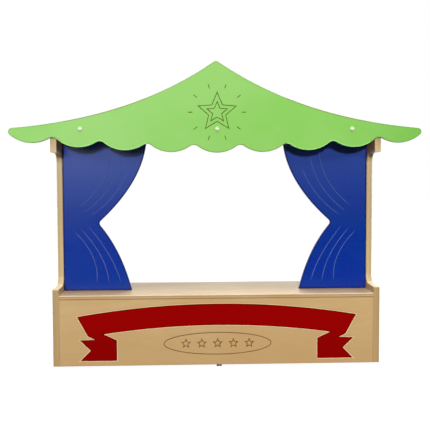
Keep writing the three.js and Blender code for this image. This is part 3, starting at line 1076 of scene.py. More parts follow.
@dataclass(frozen=True)
class Palette:
    """The finishes, made once and shared by the sub-assemblies."""

    front_wood: bpy.types.Material
    shelf_wood: bpy.types.Material
    side_wood: bpy.types.Material
    routed_wood: bpy.types.Material
    wood_line: bpy.types.Material
    green: bpy.types.Material
    green_line: bpy.types.Material
    blue: bpy.types.Material
    blue_line: bpy.types.Material
    red: bpy.types.Material
    roof_plastic: bpy.types.Material
    side_plastic: bpy.types.Material
    foot_plastic: bpy.types.Material
    steel: bpy.types.Material

    @classmethod
    def mixed(cls) -> "Palette":
        """Makes every finish.

        Returns:
            The palette.
        """
        return cls(
            # Front wood: painted shade towards its foot, and painted light and shade along its edges.
            front_wood=WoodFinish("front_wood", Grain.ACROSS_STAGE, heart=(0.05, 0.11),
                                  foot=0.5).build(),
            # Shelf wood: a pale painted sheen on edges that look up, and painted shade on those that
            # look down.
            shelf_wood=WoodFinish("shelf_wood", Grain.ACROSS_STAGE, heart=(0.02, 0.31),
                                  pale=srgb(206, 178, 132), top_edge=srgb(206, 202, 184),
                                  low_edge=srgb(146, 104, 60), rim=0.9, roughness=0.34).build(),
            # Side wood: a bright painted highlight on edges that look up, and painted shade on those
            # that look down.
            side_wood=WoodFinish("side_wood", Grain.UPRIGHT, heart=(0.02, 0.62),
                                 top_edge=srgb(246, 226, 178), low_edge=srgb(158, 126, 80),
                                 rim=0.85).build(),
            # The routed pocket's bevel: lighter cut wood, painted lighter still as a highlight.
            routed_wood=CarvedFinish("routed_wood", srgb(240, 214, 164), srgb(230, 200, 148)).build(),
            wood_line=CarvedFinish("wood_carving", srgb(142, 106, 64), srgb(122, 88, 50)).build(),
            # Green roof: painted shade towards its right end, a dark olive painted tone on edges that
            # look up, and a bright painted highlight on those that look down.
            green=LacquerFinish("green_lacquer", srgb(136, 199, 92), srgb(149, 203, 109),
                                srgb(126, 156, 82), srgb(162, 231, 122),
                                painted_light_tone=srgb(118, 186, 74), fade=(0.3, 0.66), painted_light_axis=0).build(),
            green_line=CarvedFinish("green_carving", srgb(104, 124, 44), srgb(84, 92, 30)).build(),
            # Blue curtains: a painted sheen, lighter and greyer towards the top, and dark navy painted
            # shade along every edge.
            blue=LacquerFinish("blue_lacquer", srgb(2, 44, 146), srgb(10, 54, 142),
                               srgb(2, 22, 104), srgb(2, 20, 96),
                               painted_light_tone=srgb(45, 70, 150), fade=(0.36, 0.66), roughness=0.22).build(),
            blue_line=CarvedFinish("blue_carving", srgb(88, 106, 172), srgb(98, 106, 158),
                                   higher=srgb(84, 102, 166)).build(),
            # Red ribbon: painted lighter in its band than in its tails, and painted darker along its
            # edges.
            red=LacquerFinish("red_lacquer", srgb(134, 0, 0), srgb(137, 1, 1),
                              srgb(96, 1, 1), srgb(104, 1, 1),
                              painted_light_tone=srgb(145, 0, 0), fade=(0.07, 0.13), roughness=0.42, shine=0.04,
                              scuff_share=0.0).build(),
            # Roof caps: a pale painted highlight on the crown, with the roof's green around it.
            roof_plastic=MouldedFinish("roof_cap", srgb(226, 248, 206), srgb(208, 240, 184),
                                       under=srgb(128, 188, 84), roughness=0.3, coat=0.2).build(),
            side_plastic=MouldedFinish("side_cap", srgb(186, 150, 104), srgb(172, 136, 90)).build(),
            foot_plastic=MouldedFinish("foot", srgb(84, 58, 40), srgb(68, 46, 32)).build(),
            steel=SteelFinish("zinc_plate").build(),
        )


# Sub-assemblies

@dataclass
class SideFrames:
    """The two C-shaped side panels, whose edges are crisp below the shoulder and rounder above, and
    carry painted light and shade.
    """

    palette: Palette
    setback: float = 0.09
    neck: float = 0.03
    shoulder: float = 0.22825
    flare: float = 0.076
    edge: float = 0.0045
    crisp: float = 0.08
    fade: float = 0.0015
    steps: int = 20
    shoulder_light: float = 0.002
    # Painted light and shade along the edges: a darker tone on the post's front, a painted highlight
    # down the sweep, painted shade in the throat under the flare, and more light on the half next to
    # the stage.
    front_tone: Point = (0.9, -0.2)
    flare_tone: Point = (0.9, 0.02)
    sweep_tone: float = -0.06
    sweep_gain: float = 0.05
    sweep_painted_highlight: float = 0.36
    sweep_highlight_start: float = 0.75
    throat_painted_shade: Point = (-0.03, -0.2)
    neck_slack: float = 0.01
    inner_half_painted_light: float = 0.035

    def outline(self, size: Vector) -> Run:
        """The profile in depth and height, from the panel's lower front corner.

        Args:
            size: The panel's three sizes.

        Returns:
            The profile's points.
        """
        neck_y = self.setback - self.neck
        flare_z = size.z - self.flare
        low = arc((neck_y, self.shoulder + self.neck), self.neck, -QUARTER, 0.0, self.steps)
        high = arc((neck_y, flare_z - self.neck), self.neck, 0.0, QUARTER, self.steps)
        foot = [(0.0, 0.0), (0.0, self.shoulder - self.shoulder_light), (0.0, self.shoulder)]
        head = [(0.0, flare_z), (0.0, size.z), (size.y, size.z), (size.y, 0.0)]
        return [*foot, *low, *high, *head]

    def softness(self, outline: Run) -> list[float]:
        """How round the edge is: full on the post, crisp elsewhere, and changing in the necks.

        Args:
            outline: The profile.

        Returns:
            A factor on the edge's size for each point.
        """
        found = []
        for depth, _ in outline:
            share = (depth - self.setback + self.neck) / self.neck
            share = 0.0 if depth > self.setback + self.edge else min(max(share, 0.0), 1.0)
            found.append(self.crisp + (1.0 - self.crisp) * share)
        return found

    def tones(self, outline: Run, flare_z: float) -> list[Point | None]:
        """The painted light and shade of the foremost edges, with a painted highlight down the sweep
        below the post and painted shade in the throat above it.

        Args:
            outline: The profile.
            flare_z: The height at which the flare starts.

        Returns:
            For each point its painted light, or None where it keeps its own.
        """
        found: list[Point | None] = []
        at_post, at_mouth = self.throat_painted_shade
        for depth, height in outline:
            sweep = 1.0 - (height - self.shoulder) / self.neck
            throat = 1.0 - (flare_z - height) / self.neck
            tone = None
            if depth == 0.0 and height != self.shoulder:
                tone = self.flare_tone if height >= flare_z else self.front_tone
            elif depth > 0.0 and self.in_neck(sweep):
                # A painted highlight that grows down the sweep towards the shoulder.
                bright = max(sweep - self.sweep_highlight_start, 0.0) / (1.0 - self.sweep_highlight_start)
                tone = (1.0, self.sweep_tone + self.sweep_gain * sweep + self.sweep_painted_highlight * bright)
            elif depth > 0.0 and self.in_neck(throat):
                tone = (1.0, at_post + (at_mouth - at_post) * throat)
            found.append(tone)
        return found

    def in_neck(self, share: float) -> bool:
        """Whether a share of a neck's way, from the post to its mouth, lies in the neck."""
        return -self.neck_slack < share < 1.0 + self.neck_slack

    def levels(self, thickness: float, side: Side) -> list[Level]:
        """The panel's levels, whose edge has more painted light on the half next to the stage.

        Args:
            thickness: The panel's thickness.
            side: The side that it stands on.

        Returns:
            The levels from its left face to its right one.
        """
        plain = rounded(thickness, self.edge, self.fade, whole=True)
        lean = side.value * self.inner_half_painted_light
        return [replace(level, lean=lean if 2 * index < len(plain) else -lean)
                for index, level in enumerate(plain)]

    def build(self) -> Iterator[Piece]:
        """Makes both panels.

        Yields:
            Each panel.
        """
        for side in Side:
            node = f"{side.word}_side_panel"
            span = Span.of(node)
            outline = self.outline(span.size)
            board = lofted(outline, self.levels(span.size.x, side), self.softness(outline),
                           self.tones(outline, span.size.z - self.flare))
            yield Piece(f"{side.word}_side", board.moved(span.sideways()), self.palette.side_wood,
                        "clear_wood", node).smooth()


@dataclass
class InnerBoards:
    """The shelf and the top board, each with a nose and a small quirk along its front edge, a painted
    sheen on the nose and painted shade on the face below it.
    """

    palette: Palette
    nose: float = 0.0035
    quirk: float = 0.0006
    # The dark strips under the nose and above the lower arris are painted shade: how tall the upper
    # one is, and how far each fades.
    line: float = 0.0009
    line_spread: float = 0.001
    arris: float = 0.0009
    face_painted_shade: float = 0.22
    nose_painted_sheen: Point = (0.42, 1.0)
    steps: int = 8

    def section(self, depth: float, thickness: float) -> tuple[Run, list[Point]]:
        """The board's section.

        Args:
            depth: The board's depth.
            thickness: Its thickness.

        Returns:
            The section in depth and height, and the painted light and shade at each of its points.
        """
        fall = thickness - self.nose
        nose = arc((self.nose + self.quirk, fall), self.nose, QUARTER, math.pi, self.steps)
        low = arc((self.arris, self.arris), self.arris, math.pi, 1.5 * math.pi, self.steps // 2)
        face = [(0.0, fall), (0.0, fall - self.line), (0.0, fall - self.line - self.line_spread),
                (0.0, self.arris + self.line_spread)]
        run = [(depth, 0.0), (depth, thickness), *nose, *face, *low]
        # Painted light along the section: a sheen on the nose, painted shade on the face below it and
        # on the lower arris.
        plain = [(0.0, -1.0)] * 3
        bright = [self.nose_painted_sheen] * (len(nose) - 1)
        dark = [(rim, -1.0) for rim in (1.0, 1.0, self.face_painted_shade, self.face_painted_shade, *[1.0] * len(low))]
        return run, plain + bright + dark

    def build(self) -> Iterator[Piece]:
        """Makes both boards.

        Yields:
            Each board.
        """
        for node in ("shelf", "top_board"):
            span = Span.of(node)
            run, tones = self.section(span.size.y, span.size.z)
            board = lofted(run, [Level(0.0, 0.0, 1.0), Level(0.0, span.size.x, 1.0)], tones=tones)
            yield Piece(f"{node}_plank", board.moved(span.sideways()), self.palette.shelf_wood,
                        "clear_wood", node).smooth()


@dataclass
class FrontPanel:
    """The front panel with its ribbon, carved oval and row of stars."""

    palette: Palette
    half: float = 0.467
    height: float = 0.198
    edge: float = 0.0006
    # How far the edges' painted shade reaches onto the panel's faces.
    fade: float = 0.002
    edge_steps: int = 3
    pocket_depth: float = 0.003
    bevel_width: float = 0.0016
    bevel_depth: float = 0.0005
    ribbon_edge: float = 0.0005
    # How far the ribbon's darker painted shade reaches in from its edges.
    ribbon_fade: float = 0.003
    # The panel's edges all take the low edge's darker tone, as painted shade along them.
    edge_painted_shade: Point = (0.75, -1.0)
    overrun: float = 0.0001
    oval: Point = (0.159, 0.0326)
    oval_share: float = 0.322
    oval_steps: int = 160
    line: float = 0.0013
    star_radius: float = 0.013
    star_spacing: float = 0.047
    star_count: int = 5
    notch_share: float = 0.45
    bow_steps: int = 48
    band_top_shares: Triple = (0.921, 0.8876, 0.7414)
    band_bottom_shares: Triple = (0.598, 0.7203, 0.4768)
    tail_shares: tuple[Point, ...] = (
        (0.8201, 0.447), (0.7769, 0.3965), (0.8709, 0.3904), (0.8034, 0.2333), (0.8694, 0.0773),
        (0.6381, 0.0758), (0.6381, 0.3859))

    def place(self, shares: Sequence[float]) -> Point:
        """A point of the panel from its shares of half width and height."""
        return (shares[0] * self.half, shares[1] * self.height)

    def bow(self, shares: Triple) -> Run:
        """The arc of one edge of the ribbon's right half.

        Args:
            shares: Its height on the middle line, and its end point, as shares of the panel.

        Returns:
            Its points, outwards from the middle line.
        """
        top = shares[0] * self.height
        end = self.place(shares[1:])
        fall = top - end[1]
        radius = (end[0] ** 2 + fall ** 2) / (2 * fall)
        centre = (0.0, top - radius)
        return arc(centre, radius, QUARTER, angle_to(centre, end), self.bow_steps)

    def ribbon(self) -> Run:
        """The ribbon: a bowed band with a forked tail at each end.

        Returns:
            Its outline.
        """
        tail = [self.place(shares) for shares in self.tail_shares]
        top, bottom = self.bow(self.band_top_shares), self.bow(self.band_bottom_shares)
        return mirrored([*top, *tail, *reversed(bottom)])

    def pocket(self) -> Solid:
        """The ribbon's pocket, which has a small bevel at its mouth.

        Returns:
            Its cutter.
        """
        outer = self.bevel_width * (1 + self.overrun / self.bevel_depth)
        return lofted(self.ribbon(), [Level(-outer, -self.overrun), Level(0.0, self.bevel_depth),
                                      Level(0.0, self.pocket_depth)])

    def carving(self) -> Solid:
        """The carved lines.

        Returns:
            The cutters of the oval and its stars.
        """
        middle = (0.0, self.oval_share * self.height)
        turns = [2 * math.pi * step / self.oval_steps for step in range(self.oval_steps)]
        oval = [(self.oval[0] * math.cos(t), middle[1] + self.oval[1] * math.sin(t)) for t in turns]
        cutters = groove(oval, self.line, True)
        for index in range(self.star_count):
            across = (index - (self.star_count - 1) / 2) * self.star_spacing
            outline = star((across, middle[1]), self.star_radius, self.notch_share)
            cutters.add(groove(outline, self.line, True))
        return cutters

    def build(self) -> Iterator[Piece]:
        """Makes the panel and the ribbon.

        Yields:
            Each of them.
        """
        span = Span.of("front_panel")
        corners = [(-self.half, 0.0), (self.half, 0.0),
                   (self.half, self.height), (-self.half, self.height)]
        board = lofted(corners, rounded(span.size.y, self.edge, self.fade, self.edge_steps),
                       tones=[self.edge_painted_shade] * len(corners))
        panel = Piece("front_board", board.moved(span.upright()), self.palette.front_wood,
                      "clear_wood", "front_panel")
        # The pocket's bevel is lighter cut wood, painted lighter still as a highlight.
        panel.cut(self.pocket().moved(span.upright()), self.palette.routed_wood)
        panel.cut(self.carving().moved(span.upright()), self.palette.wood_line)
        yield panel.smooth()
        inlay = Span.of("ribbon_inlay")
        ribbon = lofted(self.ribbon(),
                        rounded(inlay.size.y, self.ribbon_edge, self.ribbon_fade, self.edge_steps))
        place = Matrix.Translation((0.0, inlay.low.y, span.low.z))
        yield Piece("ribbon", ribbon.moved(place), self.palette.red,
                    "red_lacquer", "ribbon_inlay").smooth()


@dataclass
class TentRoof:
    """The roof board: concave slopes, round tips and a scalloped fringe, with a carved star badge."""

    palette: Palette
    tip_radius: float = 0.011
    scallops: int = 9
    scallop_radius: float = 0.095
    neck_radius: float = 0.02
    arch_radius: float = 5.15
    pitch_share: float = 0.1134
    apex_height: float = 0.2669
    sweep_shares: Point = (0.4115, 0.803)
    apex_share: float = 0.03
    apex_lean: float = -0.003
    edge: float = 0.0012
    # How far the edge's painted light reaches onto the faces; the fringe before the curtains keeps a
    # bright painted highlight on its lower edge, and the rest takes the top edge's darker painted
    # tone.
    fade: float = 0.0027
    light_span: Point = (0.205, 0.45)
    dull_painted_shade: Point = (0.6, 1.0)
    line: float = 0.0012
    badge_star: float = 0.058
    badge_inner: float = 0.031
    badge_share: float = 0.22
    notch_share: float = 0.45
    rays: int = 10
    ray_start: float = 0.07
    ray_length: float = 0.016
    ray_steps: int = 10
    apex_steps: int = 6
    sweep_steps: int = 72
    tip_steps: int = 16
    scallop_steps: int = 28
    neck_steps: int = 12

    def centres(self, width: float) -> Run:
        """Centres of the scallops, set on a shallow arch.

        Args:
            width: The roof's width.

        Returns:
            The centres from the middle to the right end.
        """
        reach = self.arch_radius - self.scallop_radius
        steps = range(self.scallops // 2 + 1)
        angles = [step * self.pitch_share * width / self.arch_radius for step in steps]
        return [(reach * math.sin(a), self.arch_radius - reach * math.cos(a)) for a in angles]

    def neck(self, right: Point, left: Point) -> Point:
        """Centre of the round neck between two scallops.

        Args:
            right: The right scallop's centre.
            left: The left one's.

        Returns:
            The neck's centre.
        """
        half = math.dist(right, left) / 2
        drop = math.sqrt((self.scallop_radius + self.neck_radius) ** 2 - half ** 2)
        return polar(towards(right, left, 0.5), drop, angle_to(left, right) - QUARTER)

    def fringe(self, tip: Point, centres: Run) -> Run:
        """The lower edge of the right half.

        Args:
            tip: The centre of the round tip.
            centres: The scallops' centres.

        Returns:
            The edge from the tip to the middle line.
        """
        runs = []
        start = angle_to(centres[-1], tip)
        for centre, following in zip(centres[:0:-1], centres[-2::-1]):
            between = self.neck(centre, following)
            runs.append(arc(centre, self.scallop_radius, start, angle_to(centre, between),
                            self.scallop_steps))
            runs.append(arc(between, self.neck_radius, angle_to(between, centre),
                            angle_to(between, following), self.neck_steps))
            start = angle_to(following, between)
        runs.append(arc(centres[0], self.scallop_radius, start, -QUARTER, self.scallop_steps // 2))
        return chain(*runs)

    def outline(self, width: float) -> Run:
        """The roof's outline.

        Args:
            width: The roof's width.

        Returns:
            The outline's points about the lowest point of the middle scallop.
        """
        centres = self.centres(width)
        outer = centres[-1]
        tip_x = width / 2 - self.tip_radius
        reach = self.scallop_radius - self.tip_radius
        tip = (tip_x, outer[1] - math.sqrt(reach ** 2 - (tip_x - outer[0]) ** 2))
        apex = (0.0, self.apex_height)
        control = (self.sweep_shares[0] * tip[0], apex[1] - self.sweep_shares[1] * (apex[1] - tip[1]))
        away = math.dist(control, tip)
        rise = angle_to(control, tip) + math.asin(self.tip_radius / away)
        touch = polar(control, math.sqrt(away ** 2 - self.tip_radius ** 2), rise)
        shoulder = towards(apex, control, self.apex_share)
        crown = (0.0, (apex[1] + shoulder[1]) / 2)
        blend = bend(crown, towards(apex, shoulder, 0.5), shoulder, self.apex_steps)
        sweep = bend(shoulder, control, touch, self.sweep_steps)
        end = arc(tip, self.tip_radius, angle_to(tip, touch), angle_to(outer, tip), self.tip_steps)
        run = mirrored(chain(blend, sweep, end, self.fringe(tip, centres)))
        return [(x + self.apex_lean * max(z - tip[1], 0.0) / (apex[1] - tip[1]), z) for x, z in run]

    def tones(self, outline: Run) -> list[Point | None]:
        """The rim's painted light at each point: a painted highlight on the fringe before a curtain,
        and the top edge's darker painted shade elsewhere.
        """
        near, far = self.light_span
        return [None if near < abs(x) < far else self.dull_painted_shade for x, _ in outline]

    def badge(self) -> Solid:
        """The badge's carved lines.

        Returns:
            The cutters of a star in a star, and of a ring of short rays.
        """
        centre = (0.0, self.badge_share * self.apex_height + self.badge_star)
        cutters = groove(star(centre, self.badge_star, self.notch_share), self.line, True)
        cutters.add(groove(star(centre, self.badge_inner, self.notch_share), self.line, True))
        for ray in range(self.rays):
            angle = QUARTER + (ray + 0.5) * 2 * math.pi / self.rays
            start = polar(centre, self.ray_start, angle)
            end = polar(centre, self.ray_start + self.ray_length, angle)
            line = [towards(start, end, step / self.ray_steps) for step in range(self.ray_steps + 1)]
            cutters.add(groove(line, self.line, False))
        return cutters

    def build(self) -> Iterator[Piece]:
        """Makes the roof.

        Yields:
            The roof.
        """
        span = Span.of("roof_panel")
        outline = self.outline(span.size.x)
        board = lofted(outline, rounded(span.size.y, self.edge, self.fade), tones=self.tones(outline))
        roof = Piece("roof", board.moved(span.upright()), self.palette.green,
                     "green_lacquer", "roof_panel")
        roof.cut(self.badge().moved(span.upright()), self.palette.green_line)
        yield roof.smooth()


@dataclass(frozen=True)
class Drape:
    """The measures of one curtain's drawn edge.

    The shares say how far across and down the way each half of the edge bends.
    """

    top_trim: float
    waist_width: float
    bottom_width: float
    upper_shares: Point
    lower_shares: Point


@dataclass
class Curtains:
    """The two curtain boards, cut to a gathered drape and carved with folds."""

    palette: Palette
    left: Drape = Drape(0.005, 0.10575, 0.20715, (0.03, 0.498), (0.3, 0.58))
    right: Drape = Drape(0.0, 0.109, 0.20975, (0.013, 0.498), (0.284, 0.58))
    waist_rise: float = 0.2072
    waist_blend: float = 0.012
    edge: float = 0.0016
    # How far the dark navy painted shade along the curtains' edges reaches onto their faces.
    fade: float = 0.003
    line: float = 0.0012
    edge_steps: int = 48
    waist_steps: int = 12
    fold_steps: int = 32
    fold_taper: float = 0.14
    fold_shares: tuple[tuple[Point, Point, Point], ...] = (
        ((0.618, 0.052), (0.576, 0.224), (0.885, 0.387)),
        ((0.477, 0.052), (0.498, 0.217), (0.802, 0.402)),
        ((0.34, 0.054), (0.415, 0.218), (0.708, 0.414)),
        ((0.431, 0.893), (0.477, 0.671), (0.828, 0.536)),
        ((0.323, 0.872), (0.379, 0.654), (0.767, 0.498)),
        ((0.22, 0.797), (0.368, 0.588), (0.693, 0.479)))

    def outline(self, outer: float, size: Vector, drape: Drape) -> Run:
        """A right curtain's outline.

        Args:
            outer: How far its outer edge lies from the stage's middle line.
            size: The board's three sizes.
            drape: The measures of its drawn edge.

        Returns:
            The outline's points about the middle line and the board's lower edge.
        """
        top = (outer - size.x + drape.top_trim, size.z)
        waist = (outer - drape.waist_width, self.waist_rise)
        bottom = (outer - drape.bottom_width, 0.0)
        upper = (top[0] + drape.upper_shares[0] * (waist[0] - top[0]),
                 top[1] - drape.upper_shares[1] * (top[1] - waist[1]))
        lower = (bottom[0] + drape.lower_shares[0] * (waist[0] - bottom[0]),
                 drape.lower_shares[1] * waist[1])
        enter = towards(waist, upper, self.waist_blend / math.dist(waist, upper))
        leave = towards(waist, lower, self.waist_blend / math.dist(waist, lower))
        edge = chain(bend(top, upper, enter, self.edge_steps),
                     bend(enter, waist, leave, self.waist_steps),
                     bend(leave, lower, bottom, self.edge_steps))
        return [*edge, (outer, 0.0), (outer, size.z)]

    def folds(self, outer: float, size: Vector, side: Side) -> Solid:
        """The folds' carved lines.

        Args:
            outer: How far the curtain's outer edge lies from the stage's middle line.
            size: The board's three sizes.
            side: The side that it hangs on.

        Returns:
            Their cutters.
        """
        cutters = Solid.empty()
        for fold in self.fold_shares:
            ends = [(outer - size.x + across * size.x, up * size.z) for across, up in fold]
            line = flipped(bend(*ends, self.fold_steps), side)
            cutters.add(groove(line, self.line, False, taper=self.fold_taper))
        return cutters

    def build(self) -> Iterator[Piece]:
        """Makes both curtains.

        Yields:
            Each curtain.
        """
        for side in Side:
            node = f"{side.word}_curtain"
            span = Span.of(node)
            outer = max(abs(span.low.x), abs(span.high.x))
            drape = self.left if side is Side.LEFT else self.right
            board = lofted(flipped(self.outline(outer, span.size, drape), side),
                           rounded(span.size.y, self.edge, self.fade))
            curtain = Piece(f"{side.word}_drape", board.moved(span.upright()), self.palette.blue,
                            "blue_lacquer", node)
            folds = self.folds(outer, span.size, side)
            curtain.cut(folds.moved(span.upright()), self.palette.blue_line)
            yield curtain.smooth()


@dataclass
class Fasteners:
    """Caps, screws, dowels and glides.

    Their profiles are shares of a radius and a height, but a screw head's gives depths below its top.
    """

    palette: Palette
    roof_caps: int = 3
    side_caps: int = 12
    curtain_screws: int = 8
    glides: tuple[tuple[str, int], ...] = (("side_glide", 4), ("middle_glide", 2))
    lip_share: float = 0.26
    lip_profile: tuple[Point, ...] = (
        (0.0, 0.0), (0.97, 0.0), (1.0, 0.3), (1.0, 0.7), (0.97, 1.0), (0.92, 0.94))
    crown_share: float = 0.9
    crown_steps: int = 8
    threads: int = 9
    thread_start: float = 0.12
    thread_share: float = 0.6
    thread_root: float = 0.72
    shank_share: float = 0.56
    neck_profile: tuple[Point, ...] = ((0.8, 0.78), (0.8, 0.9))
    head_profile: tuple[Point, ...] = ((0.94, 0.0004), (1.0, 0.0002), (0.97, 0.0))
    screw_sides: int = 28
    cross_reach: float = 0.5
    cross_waist: float = 0.11
    cross_depth: float = 0.6
    cross_sunk: float = 0.6
    glide_gap: float = 0.00025
    glide_sides: int = 36
    dish_share: float = 0.34
    dish_profile: tuple[Point, ...] = ((0.0, 0.12), (0.7, 0.12), (1.0, 0.03), (1.15, 0.0))
    dome_profile: tuple[Point, ...] = (
        (0.7, 0.0), (0.82, 0.06), (0.93, 0.2), (0.99, 0.42), (1.0, 0.55), (1.0, 0.94), (0.97, 1.0))
    nail_share: float = 0.22
    nail_shoulder: float = 0.9

    def numbered(self, kind: str, count: int) -> Iterator[tuple[int, str, Span]]:
        """The nodes of a kind.

        Args:
            kind: What their names start with.
            count: How many there are.

        Yields:
            Each one's number, name and box.
        """
        for number in range(1, count + 1):
            node = f"{kind}_{number}"
            yield number, node, Span.of(node)

    def cap(self, radius: float, height: float) -> Solid:
        """A domed cap with a thin lip, standing on its back.

        Args:
            radius: The cap's radius.
            height: Its height.

        Returns:
            The cap.
        """
        lip = height * self.lip_share
        reach, rise = radius * self.crown_share, height - lip
        turns = [QUARTER * step / self.crown_steps for step in range(self.crown_steps)]
        crown = [(reach * math.cos(turn), lip + rise * math.sin(turn)) for turn in turns]
        return turned([*shaped(self.lip_profile, radius, lip), *crown, (0.0, height)])

    def caps(self) -> Iterator[Piece]:
        """Makes the caps over the roof screws and the side screws.

        Yields:
            Each cap.
        """
        for number, node, span in self.numbered("roof_screw_cap", self.roof_caps):
            solid = self.cap(span.size.x / 2, span.size.y).moved(span.seated(Facing.FRONT))
            yield Piece(f"roof_cap_{number}", solid, self.palette.roof_plastic,
                        "white_cap", node).smooth()
        for number, node, span in self.numbered("side_screw_cap", self.side_caps):
            facing = Facing.LEFT if span.middle.x < 0 else Facing.RIGHT
            solid = self.cap(span.size.z / 2, span.size.x).moved(span.seated(facing))
            yield Piece(f"side_cap_{number}", solid, self.palette.side_plastic,
                        "brown_cap", node).smooth()

    def screw(self, length: float, head: float) -> Solid:
        """A countersunk screw that stands on its point, with threads down to it.

        Args:
            length: The screw's length.
            head: Its head's radius.

        Returns:
            The screw.
        """
        shank = head * self.shank_share
        pitch = length * self.thread_share / self.threads
        thread = []
        for turn in range(self.threads):
            height = length * self.thread_start + turn * pitch
            thread += [(shank * self.thread_root, height), (shank, height + pitch / 2)]
        crown = [(head * across, length - drop) for across, drop in self.head_profile]
        return turned([(0.0, 0.0), *thread, *shaped(self.neck_profile, shank, length), *crown,
                       (0.0, length)], self.screw_sides)

    def cross(self, length: float, head: float) -> list[Solid]:
        """The cross in a screw's head.

        Args:
            length: The screw's length.
            head: Its head's radius.

        Returns:
            The two cutters.
        """
        reach, waist, depth = head * self.cross_reach, head * self.cross_waist, head * self.cross_depth
        blade = lofted([(-reach, -waist), (reach, -waist), (reach, waist), (-reach, waist)],
                       [Level(0.0, 0.0), Level(0.0, depth)])
        sunk = Matrix.Translation((0.0, 0.0, length - depth * self.cross_sunk))
        lying = sunk @ Matrix.Rotation(QUARTER, 4, "X")
        return [blade.moved(Matrix.Rotation(turn, 4, "Z") @ lying) for turn in (0.0, QUARTER)]

    def screws(self) -> Iterator[Piece]:
        """Makes the screws that hold the curtains.

        Yields:
            Each screw.
        """
        shelf_top = Span.of("shelf").high.z
        for number, node, span in self.numbered("curtain_screw", self.curtain_screws):
            length, head = span.size.z, span.size.x / 2
            place = span.seated(Facing.UP if span.low.z > shelf_top else Facing.DOWN)
            solid = self.screw(length, head).moved(place)
            piece = Piece(f"drape_screw_{number}", solid, self.palette.steel, "screw_steel", node)
            for arm in self.cross(length, head):
                piece.cut(arm.moved(place), self.palette.steel)
            yield piece.smooth()

    def glide(self, radius: float, height: float, top: float) -> Solid:
        """A domed glide standing on its sole, with a dished nail head below and its nail above.

        Args:
            radius: The glide's radius.
            height: The height of its dome.
            top: The height of its nail's end.

        Returns:
            The glide.
        """
        nail = radius * self.nail_share
        shoulder = height + (top - height) * self.nail_shoulder
        return turned([*shaped(self.dish_profile, radius * self.dish_share, height),
                       *shaped(self.dome_profile, radius, height),
                       (nail, height), (nail, shoulder), (0.0, top)], self.glide_sides)

    def feet(self) -> Iterator[Piece]:
        """Makes the glides, sole down.

        Yields:
            Each glide.
        """
        height = Span.of("front_panel").low.z - self.glide_gap
        for kind, count in self.glides:
            for _, node, span in self.numbered(kind, count):
                solid = self.glide(span.size.x / 2, height, span.size.z)
                yield Piece(f"{node}_foot", solid.moved(span.seated(Facing.UP)),
                            self.palette.foot_plastic, "brown_cap", node).smooth()

    def dress(self, node: str, finish: bpy.types.Material) -> None:
        """Puts a finish on a CAD node that stays inside the boards.

        Args:
            node: The node's name.
            finish: The material.
        """
        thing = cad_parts[node]
        thing.data.materials.clear()
        thing.data.materials.append(finish)
        LOG.info("dressed %s", node)

    def dress_hidden(self) -> None:
        """Gives the screws and dowels inside the boards their finish."""
        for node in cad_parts:
            if node.startswith(("side_screw_", "roof_screw_")) and "cap" not in node:
                self.dress(node, self.palette.steel)
            if node.startswith("dowel_"):
                self.dress(node, self.palette.side_wood)

    def build(self) -> Iterator[Piece]:
        """Makes all of them.

        Yields:
            Each piece that isn't hidden in the boards.
        """
        yield from self.caps()
        yield from self.screws()
        yield from self.feet()
        self.dress_hidden()


@dataclass(frozen=True)
class Softbox:
    """A soft studio lamp that looks at the stage from a bearing and a height angle, in degrees.

    One whose wash is off only shows in the paint's sheen.
    """

    name: str
    bearing: float
    height: float
    power: float
    width: float
    rise: float
    wash: bool = True
    distance: float = 3.4


